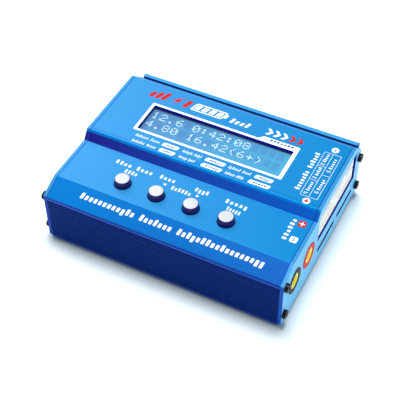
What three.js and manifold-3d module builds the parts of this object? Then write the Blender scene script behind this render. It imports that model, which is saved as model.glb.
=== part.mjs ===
// Balance battery charger: an extruded aluminium case with a display, four push buttons,
// output and balance sockets on the right end, inlets and a fan on the left end.
// Millimetres, +X to the right, +Y to the rear, +Z up.
// Inside the case group, y is measured from the front face and z from the case's underside.

import * as THREE from "three";
import { mergeVertices } from "three/addons/utils/BufferGeometryUtils.js";
import Module from "manifold-3d";

const wasm = await Module();
wasm.setup();

// ---- Driving dimensions -------------------------------------------------------------------

// Case
const LENGTH = 102;
const PLATE_THICKNESS = 1.4;
const PLATE_DEPTH = 79;
const REAR_LIP = 1.5;
const FOOT_HEIGHT = 1;
const JOINT_GAP = 0.2;
const PLATE_FACE = LENGTH / 2;
const PLATE_BACK = PLATE_FACE - PLATE_THICKNESS;
const SHELL_END = PLATE_BACK - JOINT_GAP;
const CASE_DEPTH = PLATE_DEPTH + REAR_LIP;

// Section of the case, as (y, z)
const FRONT_EDGE_Z = 23.4;
const BUTTON_DECK_Y = 9;
const BUTTON_DECK_Z = 27;
const STEP_FOOT_Y = 31.2;
const STEP_TOP_Y = 34.1;
const DISPLAY_DECK_Z = 31;
const CHAMFER_TOP_Y = 71.1;
const CHAMFER_FOOT_Y = 77.6;
const CHAMFER_FOOT_Z = 25.5;
const REAR_FLANGE_Z = 23.7;
const REAR_GAP = 0.9;
const REAR_WALL_TOP_Z = 25.8;
const PARTING_Z = 18.4;
const PARTING_GAP = 0.2;
const UPPER_WALL = 1.5;
const LOWER_WALL = 1.8;
const PLATE_CORNER = 1.2;
const SHELL_CORNER = 0.3;

// Ribs on the front and rear walls
const RIB_PITCH = 1;
const RIB_DEPTH = 0.45;
const RIB_WIDTH = 0.6;
const RIB_BAND = 1.7;

// End screws, M2 cap heads
const SCREW_INSET_Y = 2.1;
const SCREW_LOW_Z = 5.6;
const SCREW_HIGH_Z = 21.3;
const SCREW_HEAD_R = 1.85;
const SCREW_HEAD_H = 1.4;
const SCREW_SHANK_R = 0.9;
const SCREW_LENGTH = 7;
const SCREW_SOCKET_R = 0.87;
const SCREW_SOCKET_DEPTH = 0.8;
const CHANNEL_R = 2;
const CHANNEL_BORE_R = 1.15;

// Display
const WINDOW_CENTRE = [-1.75, 51];
const WINDOW_SIZE = [62.4, 15.4];
const WINDOW_CORNER = 0.6;
const LENS_SIZE = [66, 19, 0.5];
const LCD_FRAME_SIZE = [71, 24, 5.9];
const LCD_FRAME_SHEET = 0.4;
const LCD_FRAME_CORNER = 1;
const LCD_VIEW_SIZE = [64, 16.6];
const LCD_GLASS_GAP = 0.4;
const LCD_BOARD_SIZE = [80, 36];
const LCD_BOARD_TOP_Z = 22.8;

// Buttons
const BUTTON_COUNT = 4;
const BUTTON_FIRST_X = -24.6;
const BUTTON_PITCH = 14.85;
const BUTTON_Y = 16.7;
const BUTTON_R = 3.25;
const BUTTON_HEIGHT = 2.9;
const BUTTON_EDGE = 0.35;
const BUTTON_HOLE_R = 3.55;
const BUTTON_FLANGE_R = 4.4;
const BUTTON_FLANGE_Z = [24.4, 25.2];
const BUTTON_STEM_R = 1.5;
const BUTTON_STEM_Z = 22.3;
const SWITCH_SIZE = 6;
const SWITCH_TOP_Z = 23.8;
const SWITCH_WELL_R = 1.9;
const SWITCH_WELL_Z = 21.5;
const KEY_BOARD_TOP_Z = 20.2;
const KEY_BOARD_X = [-36, 32];
const KEY_BOARD_Y = [6.4, 29.4];

// Boards
const BOARD_THICKNESS = 1.6;
const MAIN_BOARD_TOP_Z = 5.7;
const MAIN_BOARD_X = 48;
const MAIN_BOARD_Y = [4.6, 74.4];
const HOOK_THICKNESS = 1;
const HOOK_REACH = 1;
const STAND_GAP = 0.1;

// Balance sockets: pitch-2.5 headers on an upright board
const HEADER_PITCH = 2.5;
const HEADER_END = 4.9;
const HEADER_HEIGHT = 5.75;
const HEADER_DEPTH = 9.8;
const HEADER_WALL = 0.8;
const HEADER_BACK = 2;
const HEADER_KEY_WIDTH = 1.1;
const HEADER_KEY_DEPTH = 3;
const HEADER_KEY_FROM_END = 4.2;
const HEADER_PROUD = 0.2;
const HEADER_GAP = 0.08;
const BALANCE_RECESS = 0.6;
const BALANCE_FRONT_Y = 34.6;
const BALANCE_ROW_Z = [13.9, 20.4];
const BALANCE_ROWS = [[6, 5], [4, 3, 2]];
const BALANCE_CUTOUT_Y = [34.2, 72.9];
const BALANCE_CUTOUT_Z = [13.3, 26.7];

// Vent slots under the balance sockets
const VENT_Z = 6.7;
const VENT_HEIGHT = 2;
const VENT_SPANS = [[35.2, 52.4], [55.6, 72.2]];

// Output sockets, 4 mm
const OUTPUT_Z = 15;
const OUTPUT_PLACES = { black: 11.2, red: 24.9 };
const OUTPUT_FLANGE_R = 5.4;
const OUTPUT_PROUD = 0.3;
const OUTPUT_BODY_R = 4.1;
const OUTPUT_BODY_DEPTH = 9;
const OUTPUT_BORE_R = 3.5;
const BARREL_R = 3.35;
const BARREL_BORE_R = 2.05;
const BARREL_DEPTH = 17;
const NUT_ACROSS_R = 5.6;
const NUT_THICKNESS = 2;

// Left end: inlet, ports and fan
const JACK_Y = 31;
const JACK_Z = 11.4;
const JACK_SIZE = [14, 9.5, 11];
const JACK_NOSE_R = 4.4;
const JACK_BORE_R = 3.1;
const JACK_BORE_DEPTH = 10;
const JACK_PIN_R = 1.2;
const PORT_Y = 21;
const PORT_SIZE = [5.8, 7.8, 2.9];
const PORT_WALL = 0.4;
const TEMPERATURE_Y = 11.5;
const FAN_SIZE = 25;
const FAN_THICKNESS = 7;
const FAN_CENTRE = [56.5, 14.8];
const FAN_BORE_R = 12;
const FAN_HOLE_R = 1.5;
const FAN_HOLE_PITCH = 20;
const FAN_PLATE_R = 6.5;
const FAN_STRUT = 1.6;
const FAN_PLATE_THICKNESS = 1;
const ROTOR_R = 11.5;
const ROTOR_HUB_R = 6;
const ROTOR_LENGTH = 5;
const ROTOR_BLADES = 7;
const ROTOR_SHAFT_R = 0.8;
const GRILLE_PITCH = 2.6;
const GRILLE_SLOT = 1.3;

// Pieces on the main board, with places as (x, y)
const INDUCTOR_PLACES = [[14, 50], [29, 50]];
const INDUCTOR_R = 6.5;
const INDUCTOR_WAIST_R = 5.6;
const INDUCTOR_HEIGHT = 9;
const INDUCTOR_FLANGE = 1.6;
const CAPACITOR_PLACES = [[-12, 56], [-22, 56], [-32, 56]];
const CAPACITOR_R = 4;
const CAPACITOR_HEIGHT = 12;
const CAPACITOR_GROOVE_Z = 1.6;
const CHIP_PLACE = [2, 32];
const CHIP_SIZE = [12, 12, 1.4];
const BUZZER_PLACE = [-20, 36];
const BUZZER_R = 4.6;
const BUZZER_HEIGHT = 6;
const BOARD_HEADER_PLACE = [0, 66];
const BOARD_HEADER_SIZE = [36, 2.5, 15.1];
const HEAT_SINK_X = [-34, 28];
const HEAT_SINK_Y = [8, 20];
const HEAT_SINK_HEIGHT = 9;
const HEAT_SINK_BASE = 2.5;
const HEAT_SINK_FINS = 5;
const FLOOR_RAIL_WIDTH = 2;

// Feet
const FOOT_R = 3.6;
const FOOT_EDGE = 0.4;
const FOOT_X = 42;
const FOOT_INSET_Y = 9;

// Facets of round pieces, and steps of a rounded corner
const ROUND = 24;
const ROUND_SMALL = 20;
const HEXAGON = 6;
const CORNER_STEPS = 3;

// ---- Materials ----------------------------------------------------------------------------

function finish(colour, roughness, metalness) {
  return () => new THREE.MeshStandardMaterial({ color: colour, roughness, metalness });
}

const FINISHES = {
  upperShell: finish(0x2f95ee, 0.38, 0.6),
  lowerShell: finish(0x141c72, 0.45, 0.6),
  endPlate: finish(0x82c2ff, 0.35, 0.6),
  screw: finish(0x15161a, 0.4, 0.7),
  lens: finish(0xbfe4ff, 0.08, 0),
  lcdFrame: finish(0x1b1470, 0.4, 0.7),
  lcdGlass: finish(0x5cb8e8, 0.25, 0),
  board: finish(0x14532d, 0.6, 0),
  buttonCap: finish(0xebebee, 0.35, 0),
  darkPlastic: finish(0x17181c, 0.5, 0),
  nylon: finish(0xf4f1e8, 0.5, 0),
  red: finish(0xe6321e, 0.4, 0),
  black: finish(0x1e2a2c, 0.4, 0),
  brass: finish(0xe8c94a, 0.3, 1),
  steel: finish(0xb9bcc2, 0.3, 1),
  aluminium: finish(0xc8ccd2, 0.35, 1),
  ferrite: finish(0x2c2c30, 0.6, 0.2),
  can: finish(0x24304f, 0.35, 0.4),
  rubber: finish(0x202124, 0.9, 0),
};

// ---- Geometry helpers ---------------------------------------------------------------------

// Turns a section drawn as (y, z) so that its depth runs along +X.
const SECTION_TO_X = new THREE.Matrix4().makeBasis(
  new THREE.Vector3(0, 1, 0),
  new THREE.Vector3(0, 0, 1),
  new THREE.Vector3(1, 0, 0),
);

function toSolid(geometry) {
  const bare = geometry.clone();
  bare.deleteAttribute("normal");
  bare.deleteAttribute("uv");
  const merged = mergeVertices(bare, 1e-4);
  const vertProperties = new Float32Array(merged.attributes.position.array);
  const triVerts = new Uint32Array(merged.index.array);
  return new wasm.Manifold(new wasm.Mesh({ numProp: 3, vertProperties, triVerts }));
}

function toGeometry(solid) {
  const mesh = solid.getMesh();
  const geometry = new THREE.BufferGeometry();
  geometry.setAttribute("position", new THREE.BufferAttribute(mesh.vertProperties, 3));
  geometry.setIndex(new THREE.BufferAttribute(mesh.triVerts, 1));
  geometry.computeVertexNormals();
  return geometry;
}

// Joins the first list of geometries and cuts the second list out of the result.
function carve(added, removed = []) {
  let solid = toSolid(added[0]);
  for (const geometry of added.slice(1)) {
    solid = solid.add(toSolid(geometry));
  }
  for (const geometry of removed) {
    solid = solid.subtract(toSolid(geometry));
  }
  return toGeometry(solid);
}

function shapeOf(points) {
  return new THREE.Shape(points.map(([a, b]) => new THREE.Vector2(a, b)));
}

function circleShape(a, b, radius) {
  const shape = new THREE.Shape();
  shape.absarc(a, b, radius, 0, 2 * Math.PI, false);
  return shape;
}

function roundedRectangle(centreA, centreB, width, height, corner) {
  const [a, b] = [width / 2 - corner, height / 2 - corner];
  const points = [];
  [[a, b], [-a, b], [-a, -b], [a, -b]].forEach(([cornerA, cornerB], quarter) => {
    for (let i = 0; i <= CORNER_STEPS; i += 1) {
      const angle = (Math.PI / 2) * (quarter + i / CORNER_STEPS);
      const [c, s] = [Math.cos(angle), Math.sin(angle)];
      points.push([centreA + cornerA + corner * c, centreB + cornerB + corner * s]);
    }
  });
  return shapeOf(points);
}

// A full circle is drawn with twice its curveSegments.
function extrudeZ(shape, z0, z1) {
  const options = { depth: z1 - z0, bevelEnabled: false, curveSegments: ROUND / 2 };
  return new THREE.ExtrudeGeometry(shape, options).translate(0, 0, z0);
}

function extrudeX(shape, x0, x1) {
  const options = { depth: x1 - x0, bevelEnabled: false, curveSegments: ROUND / 2 };
  return new THREE.ExtrudeGeometry(shape, options).applyMatrix4(SECTION_TO_X).translate(x0, 0, 0);
}

function boxBetween([x0, x1], [y0, y1], [z0, z1]) {
  const box = new THREE.BoxGeometry(x1 - x0, y1 - y0, z1 - z0);
  return box.translate((x0 + x1) / 2, (y0 + y1) / 2, (z0 + z1) / 2);
}

// A turned piece about +Z. The profile is a list of (radius, z), going up its outer side.
function turnedZ(profile, segments = ROUND) {
  const points = profile.map(([r, z]) => new THREE.Vector2(r, z));
  return new THREE.LatheGeometry(points, segments).rotateX(Math.PI / 2);
}

// A turned piece about +X. The profile is a list of (radius, x), going up its outer side.
function turnedX(profile, segments = ROUND) {
  const points = profile.map(([r, x]) => new THREE.Vector2(r, x));
  return new THREE.LatheGeometry(points, segments).rotateZ(-Math.PI / 2);
}

// Offsets an open outline to its right-hand side by a wall thickness, with mitred corners.
function offsetOutline(points, distance) {
  const normal = ([a0, b0], [a1, b1]) => {
    const length = Math.hypot(a1 - a0, b1 - b0);
    return [(b1 - b0) / length, -(a1 - a0) / length];
  };
  return points.map((point, i) => {
    const before = i > 0 ? normal(points[i - 1], point) : normal(point, points[i + 1]);
    const after = i < points.length - 1 ? normal(point, points[i + 1]) : before;
    const mitre = distance / (1 + before[0] * after[0] + before[1] * after[1]);
    return [point[0] + (before[0] + after[0]) * mitre, point[1] + (before[1] + after[1]) * mitre];
  });
}

// Points of a ribbed wall face at a given y: V grooves cut `depth` into the wall.
function ribbedFace(y, z0, z1, depth) {
  const count = Math.floor((z1 - z0) / RIB_PITCH);
  const points = [];
  for (let i = 0; i < count; i += 1) {
    const z = z0 + (i + 0.5) * RIB_PITCH;
    points.push([y, z - RIB_WIDTH / 2], [y + depth, z], [y, z + RIB_WIDTH / 2]);
  }
  return points;
}

// ---- The assembly -------------------------------------------------------------------------

const charger = new THREE.Group();
const caseGroup = new THREE.Group();
caseGroup.position.set(0, -CASE_DEPTH / 2, FOOT_HEIGHT);
charger.add(caseGroup);

function addPart(name, geometry, makeMaterial, position = [0, 0, 0]) {
  const mesh = new THREE.Mesh(geometry, makeMaterial());
  mesh.name = name;
  mesh.position.set(...position);
  caseGroup.add(mesh);
}

// Upper shell: one extrusion from the front flange over both decks to the rear chamfer.
function upperShell() {
  const ribTop = FRONT_EDGE_Z - RIB_BAND;
  const ribBottom = PARTING_Z + PARTING_GAP;
  const outer = [
    [0, FRONT_EDGE_Z],
    [BUTTON_DECK_Y, BUTTON_DECK_Z],
    [STEP_FOOT_Y, BUTTON_DECK_Z],
    [STEP_TOP_Y, DISPLAY_DECK_Z],
    [CHAMFER_TOP_Y, DISPLAY_DECK_Z],
    [CHAMFER_FOOT_Y, CHAMFER_FOOT_Z],
    [CHAMFER_FOOT_Y, REAR_FLANGE_Z],
  ];
  const inner = offsetOutline([[0, ribBottom], ...outer], UPPER_WALL).reverse();
  const ribs = ribbedFace(0, ribBottom, ribTop, RIB_DEPTH);
  const skin = shapeOf([[0, ribBottom], ...ribs, ...outer, ...inner]);
  const channelWeb = shapeOf([
    [UPPER_WALL - 0.4, SCREW_HIGH_Z],
    [SCREW_INSET_Y, SCREW_HIGH_Z],
    [SCREW_INSET_Y, SCREW_HIGH_Z + CHANNEL_R],
    [UPPER_WALL - 0.4, SCREW_HIGH_Z + CHANNEL_R - 0.6],
  ]);
  const added = [
    extrudeX(skin, -SHELL_END, SHELL_END),
    extrudeX(circleShape(SCREW_INSET_Y, SCREW_HIGH_Z, CHANNEL_R), -SHELL_END, SHELL_END),
    extrudeX(channelWeb, -SHELL_END, SHELL_END),
    ...boardHooks(),
  ];
  const removed = [
    extrudeX(circleShape(SCREW_INSET_Y, SCREW_HIGH_Z, CHANNEL_BORE_R), -PLATE_FACE, PLATE_FACE),
    extrudeZ(windowOutline(), BUTTON_DECK_Z, DISPLAY_DECK_Z + 1),
    balanceClearance(),
    nutClearance(),
  ];
  for (const x of buttonPlaces()) {
    removed.push(extrudeZ(circleShape(x, BUTTON_Y, BUTTON_HOLE_R), KEY_BOARD_TOP_Z, DISPLAY_DECK_Z));
  }
  addPart("upper_shell", carve(added, removed), FINISHES.upperShell);
}

function windowOutline() {
  return roundedRectangle(...WINDOW_CENTRE, ...WINDOW_SIZE, WINDOW_CORNER);
}

function buttonPlaces() {
  return Array.from({ length: BUTTON_COUNT }, (_, i) => BUTTON_FIRST_X + i * BUTTON_PITCH);
}

// Hooks under the decks that carry the key board and the display board by their long edges.
function boardHooks() {
  const displayY = displayBoardSpan();
  const keyHooks = hookPair(KEY_BOARD_Y, KEY_BOARD_TOP_Z, BUTTON_DECK_Z - UPPER_WALL / 2);
  const displayHooks = hookPair(displayY, LCD_BOARD_TOP_Z, DISPLAY_DECK_Z - UPPER_WALL / 2);
  return [...keyHooks, ...displayHooks];
}

function displayBoardSpan() {
  const [, centreY] = WINDOW_CENTRE;
  return [centreY - LCD_BOARD_SIZE[1] / 2 + 1, centreY + LCD_BOARD_SIZE[1] / 2 + 1];
}

function hookPair([front, rear], boardTop, ceiling) {
  const foot = boardTop - BOARD_THICKNESS - STAND_GAP - HOOK_THICKNESS;
  const hook = (edge, inward) => {
    const back = edge - inward * STAND_GAP;
    const outside = back - inward * HOOK_THICKNESS;
    const tip = edge + inward * HOOK_REACH;
    return shapeOf([
      [outside, ceiling],
      [outside, foot],
      [tip, foot],
      [tip, foot + HOOK_THICKNESS],
      [back, foot + HOOK_THICKNESS],
      [back, ceiling],
    ]);
  };
  return [hook(front, 1), hook(rear, -1)].map((shape) => extrudeX(shape, -SHELL_END, SHELL_END));
}

// Room machined in the hooks for the balance sockets and their upright board.
function balanceClearance() {
  const [front, rear] = BALANCE_CUTOUT_Y;
  const boardBack = PLATE_FACE - BALANCE_RECESS - HEADER_DEPTH - BOARD_THICKNESS - 1;
  return boxBetween([boardBack, PLATE_FACE], [front, rear + 0.5], [10, DISPLAY_DECK_Z - UPPER_WALL]);
}

// Room machined in the key board's hooks for the nuts of the output sockets.
function nutClearance() {
  const { black, red } = OUTPUT_PLACES;
  const reach = NUT_ACROSS_R + 1;
  const x = [PLATE_BACK - NUT_THICKNESS - 0.5, PLATE_FACE];
  return boxBetween(x, [black - reach, red + reach], [OUTPUT_Z, OUTPUT_Z + reach]);
}

// Lower shell: one extrusion with the ribbed front wall, the floor and the rear wall.
function lowerShell() {
  const rearInside = CHAMFER_FOOT_Y + REAR_GAP;
  const outline = [
    [0, SHELL_CORNER],
    ...ribbedFace(0, PLATE_CORNER, PARTING_Z - PARTING_GAP, RIB_DEPTH),
    [0, PARTING_Z],
    [LOWER_WALL, PARTING_Z],
    [LOWER_WALL, LOWER_WALL],
    [rearInside, LOWER_WALL],
    [rearInside, REAR_WALL_TOP_Z],
    [CASE_DEPTH, REAR_WALL_TOP_Z],
    ...ribbedFace(CASE_DEPTH, PLATE_CORNER, REAR_WALL_TOP_Z - RIB_BAND, -RIB_DEPTH).reverse(),
    [CASE_DEPTH, SHELL_CORNER],
    [CASE_DEPTH - SHELL_CORNER, 0],
    [SHELL_CORNER, 0],
  ];
  const added = [extrudeX(shapeOf(outline), -SHELL_END, SHELL_END), ...floorRails()];
  const removed = [];
  for (const [y, z] of lowerChannels()) {
    added.push(extrudeX(circleShape(y, z, CHANNEL_R), -SHELL_END, SHELL_END));
    removed.push(extrudeX(circleShape(y, z, CHANNEL_BORE_R), -PLATE_FACE, PLATE_FACE));
  }
  addPart("lower_shell", carve(added, removed), FINISHES.lowerShell);
}

function lowerChannels() {
  const rear = PLATE_DEPTH - SCREW_INSET_Y;
  return [[SCREW_INSET_Y, SCREW_LOW_Z], [rear, SCREW_LOW_Z], [rear, SCREW_HIGH_Z]];
}

function floorRails() {
  const [front, rear] = MAIN_BOARD_Y;
  const middle = (front + rear) / 2;
  const top = MAIN_BOARD_TOP_Z - BOARD_THICKNESS - STAND_GAP;
  const half = FLOOR_RAIL_WIDTH / 2;
  const centres = [front + FLOOR_RAIL_WIDTH, middle, rear - FLOOR_RAIL_WIDTH];
  const rail = (y) => boxBetween([-SHELL_END, SHELL_END], [y - half, y + half], [LOWER_WALL - 0.5, top]);
  return centres.map(rail);
}

// End plates: the section's outline with the cut-outs of each end.
function plateOutline() {
  const slope = (DISPLAY_DECK_Z - CHAMFER_FOOT_Z) / (CHAMFER_FOOT_Y - CHAMFER_TOP_Y);
  return shapeOf([
    [PLATE_CORNER, 0],
    [PLATE_DEPTH - PLATE_CORNER, 0],
    [PLATE_DEPTH, PLATE_CORNER],
    [PLATE_DEPTH, DISPLAY_DECK_Z - slope * (PLATE_DEPTH - CHAMFER_TOP_Y)],
    [CHAMFER_TOP_Y, DISPLAY_DECK_Z],
    [STEP_TOP_Y, DISPLAY_DECK_Z],
    [STEP_FOOT_Y, BUTTON_DECK_Z],
    [BUTTON_DECK_Y, BUTTON_DECK_Z],
    [0, FRONT_EDGE_Z],
    [0, PLATE_CORNER],
  ]);
}

function screwPlaces() {
  const rear = PLATE_DEPTH - SCREW_INSET_Y;
  return {
    front_low: [SCREW_INSET_Y, SCREW_LOW_Z],
    front_high: [SCREW_INSET_Y, SCREW_HIGH_Z],
    rear_low: [rear, SCREW_LOW_Z],
    rear_high: [rear, SCREW_HIGH_Z],
  };
}

function endPlates() {
  const right = plateOutline();
  const left = plateOutline();
  for (const [y, z] of Object.values(screwPlaces())) {
    right.holes.push(circleShape(y, z, CHANNEL_BORE_R));
    left.holes.push(circleShape(y, z, CHANNEL_BORE_R));
  }
  right.holes.push(...rightCutouts());
  left.holes.push(...leftCutouts());
  addPart("end_plate_right", extrudeX(right, PLATE_BACK, PLATE_FACE), FINISHES.endPlate);
  addPart("end_plate_left", extrudeX(left, -PLATE_FACE, -PLATE_BACK), FINISHES.endPlate);
}

function rightCutouts() {
  const [y0, y1] = BALANCE_CUTOUT_Y;
  const [z0, z1] = BALANCE_CUTOUT_Z;
  const holes = [roundedRectangle((y0 + y1) / 2, (z0 + z1) / 2, y1 - y0, z1 - z0, 0.4)];
  for (const [a, b] of VENT_SPANS) {
    holes.push(roundedRectangle((a + b) / 2, VENT_Z, b - a, VENT_HEIGHT, VENT_HEIGHT / 2 - 0.01));
  }
  for (const y of Object.values(OUTPUT_PLACES)) {
    holes.push(circleShape(y, OUTPUT_Z, OUTPUT_BODY_R + 0.1));
  }
  return holes;
}

function leftCutouts() {
  const [, portWidth, portHeight] = PORT_SIZE;
  const portZ = MAIN_BOARD_TOP_Z + STAND_GAP + portHeight / 2;
  const headerZ = MAIN_BOARD_TOP_Z + STAND_GAP + HEADER_HEIGHT / 2;
  const holes = [
    circleShape(JACK_Y, JACK_Z, JACK_NOSE_R + 0.2),
    roundedRectangle(PORT_Y, portZ, portWidth + 0.5, portHeight + 0.5, 0.6),
    roundedRectangle(TEMPERATURE_Y, headerZ, headerWidth(3) + 0.4, HEADER_HEIGHT + 0.4, 0.4),
  ];
  return [...holes, ...grilleSlots()];
}

// Horizontal slots of the fan grille, each as long as the fan's bore is wide at its height.
function grilleSlots() {
  const [fanY, fanZ] = FAN_CENTRE;
  const rows = Math.floor((FAN_BORE_R - GRILLE_SLOT) / GRILLE_PITCH);
  const slots = [];
  for (let i = -rows; i <= rows; i += 1) {
    const height = i * GRILLE_PITCH;
    const width = 2 * Math.sqrt(FAN_BORE_R ** 2 - (Math.abs(height) + GRILLE_SLOT / 2) ** 2);
    slots.push(roundedRectangle(fanY, fanZ + height, width, GRILLE_SLOT, GRILLE_SLOT / 2 - 0.01));
  }
  return slots;
}

// Cap-head end screws with a hexagon socket.
function endScrews() {
  for (const [side, sign] of [["right", 1], ["left", -1]]) {
    for (const [place, [y, z]] of Object.entries(screwPlaces())) {
      addPart(`end_screw_${side}_${place}`, capScrew(sign), FINISHES.screw, [sign * PLATE_FACE, y, z]);
    }
  }
}

// A cap screw whose seat is at x = 0 and whose head points along sign * X.
function capScrew(sign) {
  const edge = 0.2;
  const body = turnedX([
    [0, -SCREW_LENGTH],
    [SCREW_SHANK_R - edge, -SCREW_LENGTH],
    [SCREW_SHANK_R, -SCREW_LENGTH + edge],
    [SCREW_SHANK_R, 0],
    [SCREW_HEAD_R, 0],
    [SCREW_HEAD_R, SCREW_HEAD_H - edge],
    [SCREW_HEAD_R - edge, SCREW_HEAD_H],
    [0, SCREW_HEAD_H],
  ], ROUND_SMALL);
  const socketFloor = SCREW_HEAD_H - SCREW_SOCKET_DEPTH;
  const socket = turnedX([
    [0, socketFloor],
    [SCREW_SOCKET_R, socketFloor],
    [SCREW_SOCKET_R, SCREW_HEAD_H + 1],
    [0, SCREW_HEAD_H + 1],
  ], HEXAGON);
  const screw = carve([body], [socket]);
  return sign > 0 ? screw : screw.rotateZ(Math.PI);
}

// Display: window, metal frame, glass with its backlight, and the board that carries them.
function display() {
  const [x, y] = WINDOW_CENTRE;
  const [lensX, lensY, lensZ] = LENS_SIZE;
  const [frameX, frameY, frameZ] = LCD_FRAME_SIZE;
  const [viewX, viewY] = LCD_VIEW_SIZE;
  const [boardX] = LCD_BOARD_SIZE;
  const lensTop = DISPLAY_DECK_Z - UPPER_WALL - STAND_GAP;
  const bottom = LCD_BOARD_TOP_Z + STAND_GAP;
  const top = bottom + frameZ;
  const lens = roundedRectangle(x, y, lensX, lensY, WINDOW_CORNER);
  addPart("display_window", extrudeZ(lens, lensTop - lensZ, lensTop), FINISHES.lens);

  const ceiling = top - LCD_FRAME_SHEET;
  const inset = (width, by) => width - 2 * by;
  const outside = roundedRectangle(x, y, frameX, frameY, LCD_FRAME_CORNER);
  const inside = roundedRectangle(
    x, y, inset(frameX, LCD_FRAME_SHEET), inset(frameY, LCD_FRAME_SHEET), WINDOW_CORNER,
  );
  const opening = roundedRectangle(x, y, viewX, viewY, WINDOW_CORNER);
  const lcdFrame = carve(
    [extrudeZ(outside, bottom, top)],
    [extrudeZ(inside, bottom - 1, ceiling), extrudeZ(opening, bottom, top + 1)],
  );
  addPart("lcd_frame", lcdFrame, FINISHES.lcdFrame);

  // The backlight block fills the frame, and the glass stands in the frame's opening.
  const gap = LCD_FRAME_SHEET + LCD_GLASS_GAP;
  const block = roundedRectangle(x, y, inset(frameX, gap), inset(frameY, gap), WINDOW_CORNER);
  const glass = roundedRectangle(
    x, y, inset(viewX, LCD_GLASS_GAP), inset(viewY, LCD_GLASS_GAP), WINDOW_CORNER,
  );
  const lcdGlass = carve([
    extrudeZ(block, bottom, ceiling - STAND_GAP),
    extrudeZ(glass, bottom, top - STAND_GAP),
  ]);
  addPart("lcd_glass", lcdGlass, FINISHES.lcdGlass);

  const board = boxBetween(
    [x - boardX / 2, x + boardX / 2],
    displayBoardSpan(),
    [LCD_BOARD_TOP_Z - BOARD_THICKNESS, LCD_BOARD_TOP_Z],
  );
  addPart("lcd_board", board, FINISHES.board);
}

// Push buttons: a cap with a retaining flange and a stem that enters its switch.
function buttonCap() {
  const top = BUTTON_DECK_Z + BUTTON_HEIGHT;
  const [flangeBottom, flangeTop] = BUTTON_FLANGE_Z;
  return turnedZ([
    [0, BUTTON_STEM_Z],
    [BUTTON_STEM_R, BUTTON_STEM_Z],
    [BUTTON_STEM_R, flangeBottom],
    [BUTTON_FLANGE_R, flangeBottom],
    [BUTTON_FLANGE_R, flangeTop],
    [BUTTON_R, flangeTop],
    [BUTTON_R, top - BUTTON_EDGE],
    [BUTTON_R - BUTTON_EDGE, top],
    [0, top],
  ]);
}

function keySwitch() {
  const half = SWITCH_SIZE / 2;
  const body = boxBetween([-half, half], [-half, half], [KEY_BOARD_TOP_Z + STAND_GAP, SWITCH_TOP_Z]);
  const well = extrudeZ(circleShape(0, 0, SWITCH_WELL_R), SWITCH_WELL_Z, SWITCH_TOP_Z + 1);
  return carve([body], [well]);
}

function buttons() {
  buttonPlaces().forEach((x, i) => {
    addPart(`button_cap_${i + 1}`, buttonCap(), FINISHES.buttonCap, [x, BUTTON_Y, 0]);
    addPart(`key_switch_${i + 1}`, keySwitch(), FINISHES.darkPlastic, [x, BUTTON_Y, 0]);
  });
  const board = [KEY_BOARD_TOP_Z - BOARD_THICKNESS, KEY_BOARD_TOP_Z];
  addPart("key_board", boxBetween(KEY_BOARD_X, KEY_BOARD_Y, board), FINISHES.board);
}

// Pitch-2.5 header with an open mouth along +X, from (0, 0, 0) at its back lower front corner.
function headerWidth(pins) {
  return HEADER_PITCH * (pins - 1) + HEADER_END;
}

function header(pins) {
  const width = headerWidth(pins) - HEADER_GAP;
  const keyY = width - HEADER_KEY_FROM_END;
  const outside = boxBetween([0, HEADER_DEPTH], [0, width], [0, HEADER_HEIGHT]);
  const inside = [HEADER_WALL, HEADER_HEIGHT - HEADER_WALL];
  const cavity = boxBetween([HEADER_BACK, HEADER_DEPTH + 1], [HEADER_WALL, width - HEADER_WALL], inside);
  const key = boxBetween(
    [HEADER_DEPTH - HEADER_KEY_DEPTH, HEADER_DEPTH + 1],
    [keyY - HEADER_KEY_WIDTH / 2, keyY + HEADER_KEY_WIDTH / 2],
    [HEADER_HEIGHT - HEADER_WALL - 0.1, HEADER_HEIGHT + 1],
  );
  return carve([outside], [cavity, key]);
}

function balanceSockets() {
  const back = PLATE_FACE - BALANCE_RECESS - HEADER_DEPTH;
  BALANCE_ROWS.forEach((row, i) => {
    let y = BALANCE_FRONT_Y;
    for (const cells of row) {
      const position = [back, y, BALANCE_ROW_Z[i]];
      addPart(`balance_socket_${cells}_cells`, header(cells + 1), FINISHES.nylon, position);
      y += headerWidth(cells + 1);
    }
  });
  const boardX = [back - STAND_GAP - BOARD_THICKNESS, back - STAND_GAP];
  const boardZ = [MAIN_BOARD_TOP_Z + STAND_GAP, BALANCE_ROW_Z[1] + HEADER_HEIGHT];
  addPart("balance_board", boxBetween(boardX, BALANCE_CUTOUT_Y, boardZ), FINISHES.board);
}

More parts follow.
